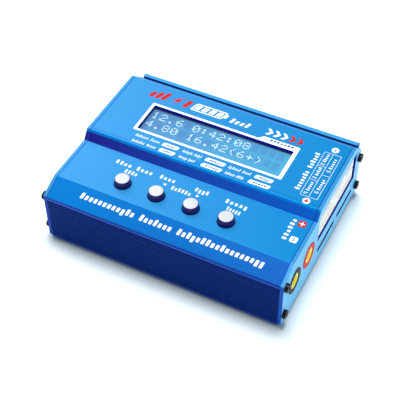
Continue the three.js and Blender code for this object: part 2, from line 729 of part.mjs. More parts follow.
// Output sockets: an insulating collar, a brass barrel and a nut behind the plate.
function outputSockets() {
  const face = PLATE_FACE + OUTPUT_PROUD;
  const collar = carve(
    [turnedX([
      [0, PLATE_FACE - OUTPUT_BODY_DEPTH],
      [OUTPUT_BODY_R, PLATE_FACE - OUTPUT_BODY_DEPTH],
      [OUTPUT_BODY_R, PLATE_FACE],
      [OUTPUT_FLANGE_R, PLATE_FACE],
      [OUTPUT_FLANGE_R, face - 0.2],
      [OUTPUT_FLANGE_R - 0.2, face],
      [0, face],
    ])],
    [extrudeX(circleShape(0, 0, OUTPUT_BORE_R), PLATE_FACE - OUTPUT_BODY_DEPTH - 1, face + 1)],
  );
  const barrel = turnedX([
    [0, PLATE_FACE - BARREL_DEPTH],
    [BARREL_R, PLATE_FACE - BARREL_DEPTH],
    [BARREL_R, face - 0.4],
    [BARREL_R - 0.2, face - 0.2],
    [BARREL_BORE_R + 0.2, face - 0.2],
    [BARREL_BORE_R, face - 0.4],
    [BARREL_BORE_R, PLATE_FACE - BARREL_DEPTH + 2],
    [0, PLATE_FACE - BARREL_DEPTH + 2],
  ]);
  const blank = [[0, 0], [NUT_ACROSS_R, 0], [NUT_ACROSS_R, NUT_THICKNESS], [0, NUT_THICKNESS]];
  const nutBore = circleShape(0, 0, OUTPUT_BODY_R + 0.1);
  const nut = carve([turnedX(blank, HEXAGON)], [extrudeX(nutBore, -1, NUT_THICKNESS + 1)]);
  for (const [colour, y] of Object.entries(OUTPUT_PLACES)) {
    const nutX = PLATE_BACK - STAND_GAP - NUT_THICKNESS;
    addPart(`output_collar_${colour}`, collar.clone(), FINISHES[colour], [0, y, OUTPUT_Z]);
    addPart(`output_barrel_${colour}`, barrel.clone(), FINISHES.brass, [0, y, OUTPUT_Z]);
    addPart(`output_nut_${colour}`, nut.clone(), FINISHES.steel, [nutX, y, OUTPUT_Z]);
  }
}

// Direct-current inlet: a block with a round nose through the plate, and its centre pin.
function inletJack() {
  const [depth, width, height] = JACK_SIZE;
  const face = -PLATE_FACE - 0.2;
  const block = -PLATE_BACK + STAND_GAP;
  const bottom = MAIN_BOARD_TOP_Z + STAND_GAP;
  const boreEnd = face + JACK_BORE_DEPTH;
  const sides = [JACK_Y - width / 2, JACK_Y + width / 2];
  const body = carve(
    [
      boxBetween([block, block + depth], sides, [bottom, bottom + height]),
      extrudeX(circleShape(JACK_Y, JACK_Z, JACK_NOSE_R), face, block + 1),
    ],
    [
      extrudeX(circleShape(JACK_Y, JACK_Z, JACK_BORE_R), face - 1, boreEnd),
      extrudeX(circleShape(JACK_Y, JACK_Z, JACK_PIN_R + 0.1), boreEnd - 1, block + depth + 1),
    ],
  );
  addPart("inlet_jack", body, FINISHES.darkPlastic);
  const tip = face + 1.5;
  const pin = turnedX([
    [0, tip],
    [JACK_PIN_R - 0.4, tip],
    [JACK_PIN_R, tip + 0.5],
    [JACK_PIN_R, block + depth - 0.5],
    [0, block + depth - 0.5],
  ], ROUND_SMALL);
  addPart("inlet_pin", pin, FINISHES.steel, [0, JACK_Y, JACK_Z]);
}

// Small data port: a folded metal shell, open at the plate.
function dataPort() {
  const [depth, width, height] = PORT_SIZE;
  const bottom = MAIN_BOARD_TOP_Z + STAND_GAP;
  const mouth = -PLATE_FACE + 0.2;
  const centreZ = bottom + height / 2;
  const outside = roundedRectangle(PORT_Y, centreZ, width, height, 0.6);
  const inside = roundedRectangle(PORT_Y, centreZ, width - 2 * PORT_WALL, height - 2 * PORT_WALL, 0.3);
  const tongue = boxBetween(
    [mouth + 0.8, mouth + depth - 0.2],
    [PORT_Y - 2, PORT_Y + 2],
    [centreZ - 0.3, centreZ + 0.3],
  );
  const shell = carve(
    [extrudeX(outside, mouth, mouth + depth)],
    [extrudeX(inside, mouth - 1, mouth + depth - 0.5)],
  );
  addPart("data_port", carve([shell, tongue]), FINISHES.steel);
}

function temperaturePort() {
  const width = headerWidth(3) - HEADER_GAP;
  const geometry = header(3).rotateZ(Math.PI).translate(0, width, 0);
  const position = [
    -PLATE_FACE - HEADER_PROUD + HEADER_DEPTH,
    TEMPERATURE_Y - width / 2,
    MAIN_BOARD_TOP_Z + STAND_GAP,
  ];
  addPart("temperature_port", geometry, FINISHES.nylon, position);
}

// Fan: a square frame with a round bore and a strutted motor plate, and the turning rotor.
function fan() {
  const [y, z] = FAN_CENTRE;
  const half = FAN_SIZE / 2;
  const outerX = -PLATE_BACK + STAND_GAP;
  const innerX = outerX + FAN_THICKNESS;
  const plateX = innerX - FAN_PLATE_THICKNESS;
  const square = roundedRectangle(0, 0, FAN_SIZE, FAN_SIZE, 2);
  square.holes.push(circleShape(0, 0, FAN_BORE_R));
  for (const [a, b] of [[1, 1], [1, -1], [-1, 1], [-1, -1]]) {
    square.holes.push(circleShape((a * FAN_HOLE_PITCH) / 2, (b * FAN_HOLE_PITCH) / 2, FAN_HOLE_R));
  }
  const struts = [0, 1, 2].map((i) => {
    const strut = boxBetween([plateX, innerX], [0, half - 0.1], [-FAN_STRUT / 2, FAN_STRUT / 2]);
    return strut.rotateX(Math.PI / 2 + (i * 2 * Math.PI) / 3);
  });
  const plate = extrudeX(circleShape(0, 0, FAN_PLATE_R), plateX, innerX);
  const shaftHole = extrudeX(circleShape(0, 0, ROTOR_SHAFT_R + 0.4), plateX - 1, innerX + 1);
  const trimmed = extrudeX(roundedRectangle(0, 0, FAN_SIZE, FAN_SIZE, 2), outerX, innerX);
  const spider = toSolid(carve([plate, ...struts])).intersect(toSolid(trimmed));
  const frame = carve([extrudeX(square, outerX, innerX), toGeometry(spider)], [shaftHole]);
  addPart("fan_frame", frame, FINISHES.darkPlastic, [0, y, z]);
  addPart("fan_rotor", rotor(outerX + 0.6, innerX), FINISHES.darkPlastic, [0, y, z]);
}

function rotor(front, shaftEnd) {
  const back = front + ROTOR_LENGTH;
  const hub = turnedX([
    [0, front],
    [ROTOR_HUB_R - 0.6, front],
    [ROTOR_HUB_R, front + 0.6],
    [ROTOR_HUB_R, back],
    [ROTOR_SHAFT_R, back],
    [ROTOR_SHAFT_R, shaftEnd],
    [0, shaftEnd],
  ]);
  const blades = Array.from({ length: ROTOR_BLADES }, (_, i) => {
    const blade = new THREE.BoxGeometry(0.7, 5, ROTOR_R - ROTOR_HUB_R + 1);
    blade.rotateZ(Math.PI / 4);
    blade.translate((front + back) / 2, 0, (ROTOR_R + ROTOR_HUB_R - 1) / 2);
    return blade.rotateX((i * 2 * Math.PI) / ROTOR_BLADES);
  });
  return carve([hub, ...blades]);
}

// Pieces that stand on the main board.
function mainBoard() {
  const top = MAIN_BOARD_TOP_Z;
  const seat = top + STAND_GAP;
  const thickness = [top - BOARD_THICKNESS, top];
  const board = boxBetween([-MAIN_BOARD_X, MAIN_BOARD_X], MAIN_BOARD_Y, thickness);
  const fanReach = FAN_SIZE / 2 + 0.5;
  const fanNotch = boxBetween(
    [-PLATE_FACE, -PLATE_BACK + FAN_THICKNESS + 0.5],
    [FAN_CENTRE[0] - fanReach, FAN_CENTRE[0] + fanReach],
    [0, top + 1],
  );
  addPart("main_board", carve([board], [fanNotch]), FINISHES.board);
  INDUCTOR_PLACES.forEach((place, i) => {
    addPart(`inductor_${i + 1}`, drumCore(), FINISHES.ferrite, [...place, seat]);
  });
  CAPACITOR_PLACES.forEach((place, i) => {
    addPart(`capacitor_${i + 1}`, capacitor(), FINISHES.can, [...place, seat]);
  });
  addPart("controller_chip", block(CHIP_SIZE), FINISHES.darkPlastic, [...CHIP_PLACE, seat]);
  addPart("buzzer", buzzer(), FINISHES.darkPlastic, [...BUZZER_PLACE, seat]);
  addPart("board_header", block(BOARD_HEADER_SIZE), FINISHES.darkPlastic, [...BOARD_HEADER_PLACE, seat]);
  addPart("heat_sink", heatSink(), FINISHES.aluminium, [0, 0, seat]);
}

// A rectangular block that stands on z = 0, centred in plan.
function block([width, depth, height]) {
  return new THREE.BoxGeometry(width, depth, height).translate(0, 0, height / 2);
}

// Wound drum core: two flanges and a waist.
function drumCore() {
  const slope = INDUCTOR_R - INDUCTOR_WAIST_R;
  const upperFlange = INDUCTOR_HEIGHT - INDUCTOR_FLANGE;
  return turnedZ([
    [0, 0],
    [INDUCTOR_R, 0],
    [INDUCTOR_R, INDUCTOR_FLANGE],
    [INDUCTOR_WAIST_R, INDUCTOR_FLANGE + slope],
    [INDUCTOR_WAIST_R, upperFlange - slope],
    [INDUCTOR_R, upperFlange],
    [INDUCTOR_R, INDUCTOR_HEIGHT],
    [0, INDUCTOR_HEIGHT],
  ]);
}

// Electrolytic capacitor: a can with a rolled groove near its foot.
function capacitor() {
  const groove = 0.3;
  return turnedZ([
    [0, 0],
    [CAPACITOR_R, 0],
    [CAPACITOR_R, CAPACITOR_GROOVE_Z - groove],
    [CAPACITOR_R - groove, CAPACITOR_GROOVE_Z],
    [CAPACITOR_R, CAPACITOR_GROOVE_Z + groove],
    [CAPACITOR_R, CAPACITOR_HEIGHT - groove],
    [CAPACITOR_R - groove, CAPACITOR_HEIGHT],
    [0, CAPACITOR_HEIGHT],
  ]);
}

// Buzzer: a round case with a sound hole in its top.
function buzzer() {
  const holeDepth = 1;
  const holeR = 1;
  return turnedZ([
    [0, 0],
    [BUZZER_R, 0],
    [BUZZER_R, BUZZER_HEIGHT],
    [holeR, BUZZER_HEIGHT],
    [holeR, BUZZER_HEIGHT - holeDepth],
    [0, BUZZER_HEIGHT - holeDepth],
  ]);
}

// Finned bar that carries the power transistors, behind the front wall.
function heatSink() {
  const [front, rear] = HEAT_SINK_Y;
  const pitch = (rear - front) / (HEAT_SINK_FINS - 0.5);
  const points = [[front, 0], [rear, 0]];
  for (let i = HEAT_SINK_FINS - 1; i >= 0; i -= 1) {
    const finFront = front + i * pitch;
    points.push([finFront + pitch / 2, HEAT_SINK_HEIGHT], [finFront, HEAT_SINK_HEIGHT]);
    if (i > 0) {
      points.push([finFront, HEAT_SINK_BASE], [finFront - pitch / 2, HEAT_SINK_BASE]);
    }
  }
  return extrudeX(shapeOf(points), ...HEAT_SINK_X);
}

// Rubber feet under the floor.
function feet() {
  const profile = [
    [0, -FOOT_HEIGHT],
    [FOOT_R - FOOT_EDGE, -FOOT_HEIGHT],
    [FOOT_R, FOOT_EDGE - FOOT_HEIGHT],
    [FOOT_R, 0],
    [0, 0],
  ];
  for (const [side, x] of [["left", -FOOT_X], ["right", FOOT_X]]) {
    for (const [end, y] of [["front", FOOT_INSET_Y], ["rear", PLATE_DEPTH - FOOT_INSET_Y]]) {
      addPart(`foot_${side}_${end}`, turnedZ(profile), FINISHES.rubber, [x, y, 0]);
    }
  }
}

upperShell();
lowerShell();
endPlates();
endScrews();
display();
buttons();
balanceSockets();
outputSockets();
inletJack();
dataPort();
temperaturePort();
fan();
mainBoard();
feet();

export default charger;
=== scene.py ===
# Balance battery charger: the looks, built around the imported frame.
# Shapes are drawn in millimetres in the case's own frame, with y from the case's front face and
# z from its underside. piece() turns them into metres in the row frame.

import math
import random

import bmesh
import bpy
from mathutils import Matrix, Vector


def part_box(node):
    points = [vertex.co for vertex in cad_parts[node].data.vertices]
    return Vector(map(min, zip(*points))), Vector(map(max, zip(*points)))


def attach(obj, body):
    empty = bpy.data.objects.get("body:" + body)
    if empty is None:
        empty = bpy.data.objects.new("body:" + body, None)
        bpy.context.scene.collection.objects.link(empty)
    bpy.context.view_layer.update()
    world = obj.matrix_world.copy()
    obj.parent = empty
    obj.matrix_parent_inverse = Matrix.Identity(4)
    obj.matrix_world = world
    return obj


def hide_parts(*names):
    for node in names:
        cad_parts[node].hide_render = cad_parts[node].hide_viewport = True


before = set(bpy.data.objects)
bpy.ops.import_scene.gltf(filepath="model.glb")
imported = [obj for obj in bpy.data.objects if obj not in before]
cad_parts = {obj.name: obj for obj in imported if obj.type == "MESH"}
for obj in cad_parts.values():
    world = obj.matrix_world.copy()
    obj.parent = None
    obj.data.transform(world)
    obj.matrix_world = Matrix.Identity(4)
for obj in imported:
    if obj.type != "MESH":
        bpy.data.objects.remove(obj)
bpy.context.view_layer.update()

# ---- Driving dimensions ----

MM = 0.001
CASE_ORIGIN = Vector((0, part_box("lower_shell")[0].y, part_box("lower_shell")[0].z))
TO_ROW = Matrix.Translation(CASE_ORIGIN) @ Matrix.Scale(MM, 4)
TO_CASE = TO_ROW.inverted()


def case_box(node):
    """Lowest and highest corner of a CAD node, in millimetres in the case's frame."""
    low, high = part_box(node)
    return TO_CASE @ low, TO_CASE @ high


def centre_of(node):
    low, high = case_box(node)
    return (low + high) / 2


def nodes_named(start):
    return [name for name in sorted(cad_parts) if name.startswith(start)]


# Printing rises PRINT above its surface, and its skirt goes PRINT_SINK below. The visual decks
# are lower than the CAD's by two layers of printing.
PRINT = 0.03
PRINT_SINK = 0.02

# Case and end plates
PLATE_LOW, PLATE_HIGH = case_box("end_plate_right")
LOWER_HIGH = case_box("lower_shell")[1]
PLATE_FACE = PLATE_HIGH.x
PLATE_BACK = PLATE_LOW.x
SHELL_END = PLATE_BACK - 0.02
PLATE_DEPTH = PLATE_HIGH.y
CASE_DEPTH = LOWER_HIGH.y
DISPLAY_DECK_Z = PLATE_HIGH.z - 2 * PRINT
FRONT_EDGE_Z = 23.4
BUTTON_DECK_Y = 9
BUTTON_DECK_Z = 27
STEP_FOOT_Y = 31.2
STEP_TOP_Y = 34.1
CHAMFER_TOP_Y = 71.1
CHAMFER_FOOT = (77.6, 25.5)
REAR_FLANGE_Z = 23.7
REAR_WALL_INNER_Y = 78.5
PARTING_Z = 18.4
PARTING_GAP = 0.2
UPPER_WALL = 1.5
LOWER_WALL = 1.8
PLATE_CORNER = 1.2
PLATE_EDGE = 0.12
SHELL_CORNER = 0.3
DECK_GROOVE_Y = 35.4
DECK_GROOVE = 0.14
TITLE_SLOPE = math.atan2(BUTTON_DECK_Z - FRONT_EDGE_Z, BUTTON_DECK_Y)

# Ribs of the front and rear walls
RIB_PITCH = 1
RIB_DEPTH = 0.45
RIB_WIDTH = 0.66
RIB_BAND = 1.7
RIB_STEPS = 10

# Openings and sockets
WINDOW_LOW, WINDOW_HIGH = (-32.95, 43.3), (29.45, 58.7)
WINDOW_CORNER = 0.6
WINDOW_CUT = (27.5, 33)  # lower and upper end of the cut in z
BUTTON_CUT = (24, 33)
BUTTON_HOLE_R = 3.55
OPENINGS_REACH = 40  # all openings in the decks lie within this of the middle
SCREW_HOLE_R = 1.15
BALANCE_CUTOUT = ((34.2, 13.3), (72.9, 26.7))
VENT_HEIGHT = 2
VENT_Z = (6.7 - VENT_HEIGHT / 2, 6.7 + VENT_HEIGHT / 2)
VENTS = [((y0, VENT_Z[0]), (y1, VENT_Z[1])) for y0, y1 in ((35.2, 52.4), (55.6, 72.2))]
OUTPUT_HOLE_R = 4.2
COLLAR_BORE_R = 3.5
COLLAR_SLEEVE_R = 4.1
COLLAR_FLANGE_R = 5.4
BARREL_R = 3.35
BARREL_BORE_R = 2.05
BARREL_FLOOR = 2
INLET_HOLE_R = 4.6
INLET_NOSE_R = 4.4
INLET_BORE_R = 3.1
INLET_PASSAGE_R = 1.3
DATA_PORT_WALL = 0.4
HEADER_PITCH = 2.5
HEADER_WALL = 0.8
HEADER_BACK = 2
HEADER_KEY = (1.1, 3, 4.2)  # width, depth, and middle's distance from the housing's end
HEADER_ENDS = 4.8  # length that the two ends add to the row of pins
PIN_SIDE = 0.64
PIN_ROOT = 0.3
PIN_LENGTH = 5.6

# Buttons
BUTTON_NAMES = [f"button_cap_{i}" for i in range(1, 5)]
BUTTON_R = 3.25
BUTTON_TOP_R = 2.96
BUTTON_STEM_R = 1.5
BUTTON_FLANGE_R = 4.4
BUTTON_FLANGE_Z = (24.4, 25.2)
BUTTON_TAPER = 1.3
DISC_R = 2.84
DISC_SEAT_R = 2.86
DISC_SEAT_DEPTH = 0.3

# Fan
FAN_LOW, FAN_HIGH = case_box("fan_frame")
FAN_PLACE = (FAN_LOW + FAN_HIGH) / 2
FAN_SIZE = FAN_HIGH.y - FAN_LOW.y
FAN_THICKNESS = FAN_HIGH.x - FAN_LOW.x
FAN_BORE_R = 12
FAN_HOLE_AT = 10
FAN_HOLE_R = 1.5
FAN_PLATE_R = 6.5
FAN_PLATE_BORE_R = 1.2
STRUT_WIDTH = 1.6
FAN_HUB_R = 6
FAN_HUB_FRONT = 0.6
FAN_HUB_DEPTH = 5
FAN_SHAFT_R = 0.8
BLADE_COUNT = 7
BLADE_R = (5.5, 11.4)
BLADE_SWEEP = 0.62
BLADE_BOW = 0.12
GRILLE_PITCH = 2.6
GRILLE_SLOT = 1.3

# Reach of a shader's zone that has to take in the whole case, and the width of the dark joints
WIDE = 60
JOINT_WIDTH = 0.36

# Turns a section drawn as (y, z), or a piece turned about +Z, so that its depth runs along +X
ALONG_X = Matrix(((0, 0, 1, 0), (1, 0, 0, 0), (0, 1, 0, 0), (0, 0, 0, 1)))

# ---- Materials ----
# Colours are written as sRGB triples, 0..255.


def linear(red, green, blue):
    """A colour given as sRGB 0..255, as the linear values that a shader takes."""
    values = []
    for part in (red, green, blue):
        share = part / 255
        values.append(share / 12.92 if share <= 0.04045 else ((share + 0.055) / 1.055) ** 2.4)
    return (*values, 1)


def scaled(colour, factor):
    """An sRGB colour as linear values times a factor."""
    return (*[min(1, part * factor) for part in linear(*colour)[:3]], 1)


def add(tree, kind, inputs=None, **settings):
    """Adds a node. Inputs are values, or sockets to link from."""
    node = tree.nodes.new(kind)
    for key, value in settings.items():
        setattr(node, key, value)
    for key, value in (inputs or {}).items():
        if isinstance(value, bpy.types.NodeSocket):
            tree.links.new(value, node.inputs[key])
        else:
            node.inputs[key].default_value = value
    return node


def place(tree):
    return add(tree, "ShaderNodeTexCoord").outputs["Object"]


def coordinate(tree, axis):
    return add(tree, "ShaderNodeSeparateXYZ", {"Vector": place(tree)}).outputs[axis]


def noise(tree, size, stretch=(1, 1, 1), detail=3):
    """Noise over the piece's own coordinates, with features of about `size` millimetres."""
    scale = [1 / (size * MM * part) for part in stretch]
    mapped = add(tree, "ShaderNodeMapping", {"Vector": place(tree), "Scale": scale})
    inputs = {"Vector": mapped.outputs["Vector"], "Scale": 1, "Detail": detail}
    return add(tree, "ShaderNodeTexNoise", inputs).outputs["Fac"]


def remap(tree, value, low, high, to_low=0, to_high=1):
    inputs = {"Value": value, "From Min": low, "From Max": high, "To Min": to_low,
              "To Max": to_high}
    return add(tree, "ShaderNodeMapRange", inputs).outputs["Result"]


def across(tree, reach):
    """0 at `reach` millimetres to the left of the middle and 1 at as far to the right."""
    return remap(tree, coordinate(tree, "X"), -reach * MM, reach * MM)


def mixed(tree, factor, a, b):
    """Colour a where factor is 0 and b where it is 1, each a socket, an sRGB triple, or linear
    values."""
    a, b = [linear(*part) if isinstance(part, tuple) and len(part) == 3 else part
            for part in (a, b)]
    return add(tree, "ShaderNodeMix", {0: factor, 6: a, 7: b}, data_type="RGBA").outputs[2]


def layered(tree, shade, layers):
    """A shade with colours over it in order, each where its mask is 1."""
    for mask, colour in layers:
        shade = mixed(tree, mask, shade, colour)
    return shade


def product(tree, a, b):
    return add(tree, "ShaderNodeMath", {0: a, 1: b}, operation="MULTIPLY").outputs[0]


def larger(tree, a, b):
    return add(tree, "ShaderNodeMath", {0: a, 1: b}, operation="MAXIMUM").outputs[0]


def edge_wear(tree, radius):
    """1 on convex and concave edges within `radius` millimetres, 0 on flat stretches."""
    rounded = add(tree, "ShaderNodeBevel", {"Radius": radius * MM}, samples=4).outputs["Normal"]
    true = add(tree, "ShaderNodeNewGeometry").outputs["Normal"]
    dot = add(tree, "ShaderNodeVectorMath", {0: rounded, 1: true}, operation="DOT_PRODUCT")
    return remap(tree, dot.outputs["Value"], 1, 0.8)


def zone(tree, low, high, soft=0.1):
    """1 inside a box given in the case's millimetres and 0 outside it."""
    axes = add(tree, "ShaderNodeSeparateXYZ", {"Vector": place(tree)}).outputs
    mask = 1
    for value, origin, start, end in zip(axes, CASE_ORIGIN, low, high):
        rising = remap(tree, value, origin + (start - soft) * MM, origin + start * MM)
        falling = remap(tree, value, origin + (end + soft) * MM, origin + end * MM)
        mask = product(tree, mask, product(tree, rising, falling))
    return mask


def band(tree, low, high, soft=0.1):
    """A zone over the whole length, between two corners in y and z."""
    return zone(tree, (-WIDE, *low), (WIDE, *high), soft)


def new_material(name):
    """A material with its node tree and its shader."""
    material = bpy.data.materials.new(name)
    material.use_nodes = True
    tree = material.node_tree
    return material, tree, tree.nodes["Principled BSDF"]


def finish(name, colour, roughness, metallic=0, grain=0.5, stretch=(1, 1, 1), variation=0.1,
           bump=0.15, relief=0.004, tint=None, wear=None, **sockets):
    """A material with grain in its colour, roughness and relief.

    grain is in millimetres and stretch lengthens it along an axis. relief is the bump's depth in
    millimetres. tint is a function that changes the colour over the piece with painted light and
    shade, and gives a mask of its parts in painted shade, which are metallic and have no worn
    edges. wear is (colour, radius, strength) along edges. The remaining names are shader sockets.
    """
    material, tree, shader = new_material(name)
    shader.inputs["Metallic"].default_value = metallic
    for key, value in sockets.items():
        shader.inputs[key.replace("_", " ")].default_value = value
    fine = noise(tree, grain, stretch)
    broad = noise(tree, grain * 30, detail=2)
    shade = mixed(tree, fine, scaled(colour, 1 - variation), scaled(colour, 1 + variation))
    shade = mixed(tree, remap(tree, broad, 0.3, 0.7, 0, 0.35), shade, scaled(colour, 1 - variation))
    # dark is the mask of the parts in painted shade that tint gives back.
    dark = 0
    if tint:
        shade, dark = tint(tree, shade)
        tree.links.new(remap(tree, dark, 0, 1, metallic, 1), shader.inputs["Metallic"])
    if wear:
        worn, radius, strength = wear
        edge = product(tree, edge_wear(tree, radius), remap(tree, fine, 0.3, 0.6, 0.4, strength))
        edge = product(tree, edge, remap(tree, dark, 0, 0.5, 1, 0))
        shade = mixed(tree, edge, shade, worn)
    tree.links.new(shade, shader.inputs["Base Color"])
    rough = remap(tree, fine, 0.25, 0.75, roughness * 0.85, min(1, roughness * 1.15))
    tree.links.new(rough, shader.inputs["Roughness"])
    height = {"Height": fine, "Strength": bump, "Distance": relief * MM}
    tree.links.new(add(tree, "ShaderNodeBump", height).outputs["Normal"], shader.inputs["Normal"])
    return material


def step_tint(tree, shade):
    """Painted shade in indigo on the step between the decks, with a painted strip of lit mid blue
    along its rounded top edge. Both are painted lighter towards the right."""
    along = across(tree, PLATE_FACE)
    step = band(tree, (STEP_FOOT_Y - 0.1, BUTTON_DECK_Z + 0.1),
                (STEP_TOP_Y + 0.1, DISPLAY_DECK_Z - 0.2))
    strip = band(tree, (STEP_FOOT_Y, DISPLAY_DECK_Z - 0.75),
                 (STEP_TOP_Y + 0.45, DISPLAY_DECK_Z + 0.1), 0.12)
    # Painted shade on the step and painted light on its top strip, both lighter to the right.
    return layered(tree, shade, [
        (step, mixed(tree, along, (40, 34, 148), (15, 106, 218))),
        (strip, mixed(tree, along, (8, 126, 212), (4, 134, 220))),
    ])


def case_tint(tree, shade):
    """The case's tones from face to face, most of them painted light and shade: a painted sheen
    that fades from the left end towards the right, painted shade on the step, painted shade on the
    navy front ribs that is darker in their grooves, painted shade on the title face and on a dark
    line under it, painted shade on the rear chamfer and lip with a painted highlight on the lip's
    crown, painted shade on the walls in the window, and dark joints at the ends."""
    along = across(tree, SHELL_END)
    # Painted sheen: the case is lighter at its left end and fades to a plainer, darker blue at its
    # right end.
    shade = mixed(tree, product(tree, along, 0.9), shade, (2, 125, 190))
    shade = step_tint(tree, shade)
    # Painted shade: the front wall is painted navy because it stands in shade, and its grooves are
    # painted darker the deeper they go.
    ribs = band(tree, (-1, -1), (0.5, FRONT_EDGE_Z - 0.5), 0.25)
    groove = remap(tree, coordinate(tree, "Y"), CASE_ORIGIN.y + 0.02 * MM,
                   CASE_ORIGIN.y + 0.3 * MM)
    # Painted shade on the walls of the window, which lie in shade.
    opening = zone(tree, (WINDOW_LOW[0] - 0.1, WINDOW_LOW[1] - 0.1, 20),
                   (WINDOW_HIGH[0] + 0.1, WINDOW_HIGH[1] + 0.1, DISPLAY_DECK_Z - 0.25))
    # Painted shade: the title face leans away from the light, so it is painted darker than the
    # decks, and darker still towards the right.
    title = band(tree, (-1, FRONT_EDGE_Z - 0.1), (BUTTON_DECK_Y - 0.1, BUTTON_DECK_Z - 0.03), 0.02)
    # Painted shadow on the rear chamfer and the lip's inner wall, where the groove between them
    # lies in shade.
    chamfer = band(tree, (CHAMFER_TOP_Y + 2, 0), (REAR_WALL_INNER_Y + 0.1, DISPLAY_DECK_Z - 2.4),
                   1.2)
    lip = band(tree, (CHAMFER_FOOT[0], 0), (REAR_WALL_INNER_Y + 0.05, LOWER_HIGH.z - 0.3), 0.05)
    # Painted highlight: the top of the rear lip is painted lighter than the deck.
    crown = band(tree, (REAR_WALL_INNER_Y, LOWER_HIGH.z - 0.3), (WIDE * 2, WIDE))
    # Painted shade: a darker band on the front wall just under its top edge.
    brow = band(tree, (-1, FRONT_EDGE_Z - 0.8), (0.3, FRONT_EDGE_Z - 0.22))
    layers = [
        (ribs, mixed(tree, groove, (26, 68, 166), (3, 10, 70))),
        (opening, (52, 30, 156)),
        (title, mixed(tree, along, (1, 118, 198), (1, 82, 162))),
        (larger(tree, chamfer, lip), (16, 98, 184)),
        (crown, (60, 148, 206)),
        (brow, (8, 40, 140)),
    ]
    shade = layered(tree, shade, layers)
    middle = zone(tree, (JOINT_WIDTH - SHELL_END, -WIDE, -WIDE),
                  (SHELL_END - JOINT_WIDTH, WIDE * 2, WIDE))
    # The parts in painted shade, the front ribs and the window's walls, come back as the mask that
    # makes them metallic.
    return mixed(tree, middle, (4, 76, 160), shade), larger(tree, ribs, opening)


def plate_tint(tree, shade):
    """Painted shade on the step, painted light on the outer faces, painted shade on the front edges
    that is lighter towards the right, and painted shade on the walls in the right plate's openings
    and behind the faces."""
    shade = step_tint(tree, shade)
    # Painted shade on the walls inside the plates and in the right plate's openings and vents.
    inner = PLATE_FACE - 0.2
    walls = zone(tree, (-inner, 1.5, 1.5), (inner, PLATE_DEPTH - 1.5, 20))
    for (y0, z0), (y1, z1) in [BALANCE_CUTOUT, *VENTS]:
        opening = zone(tree, (0, y0 - 0.12, z0 - 0.12), (WIDE, y1 + 0.12, z1 + 0.12), 0.03)
        walls = larger(tree, walls, opening)
    # Painted light: the plates' outer faces are painted lighter than the rest of the plate.
    faces = larger(tree, zone(tree, (PLATE_FACE - 0.01, 0, 0), (WIDE, WIDE * 2, WIDE), 0.02),
                   zone(tree, (-WIDE, 0, 0), (0.01 - PLATE_FACE, WIDE * 2, WIDE), 0.02))
    # Painted shade on the plates' front edges, lighter towards the right.
    front = band(tree, (-1, 0), (0.2, FRONT_EDGE_Z - 0.3), 0.05)
    shaded_front_blue = mixed(tree, across(tree, PLATE_FACE), (14, 58, 176), (14, 88, 200))
    layers = [(faces, (118, 208, 255)), (front, shaded_front_blue), (walls, (18, 38, 160))]
    return layered(tree, shade, layers), 0


# Blue with a painted sheen, as the case's left end shows it. case_tint fades the sheen out towards
# the right end, and the end plates keep it on their tops.
SHEEN_BLUE = (57, 139, 200)
WORN_BLUE = (90, 190, 255)
ANODISED = dict(roughness=0.36, metallic=0.15, grain=0.12, variation=0.05, bump=0.25,
                relief=0.003, wear=(WORN_BLUE, 0.1, 0.35), Specular_IOR_Level=0.06)
PLATE_FINISH = {**ANODISED, "wear": (WORN_BLUE, 0.12, 0.35), "Specular_IOR_Level": 0.1}

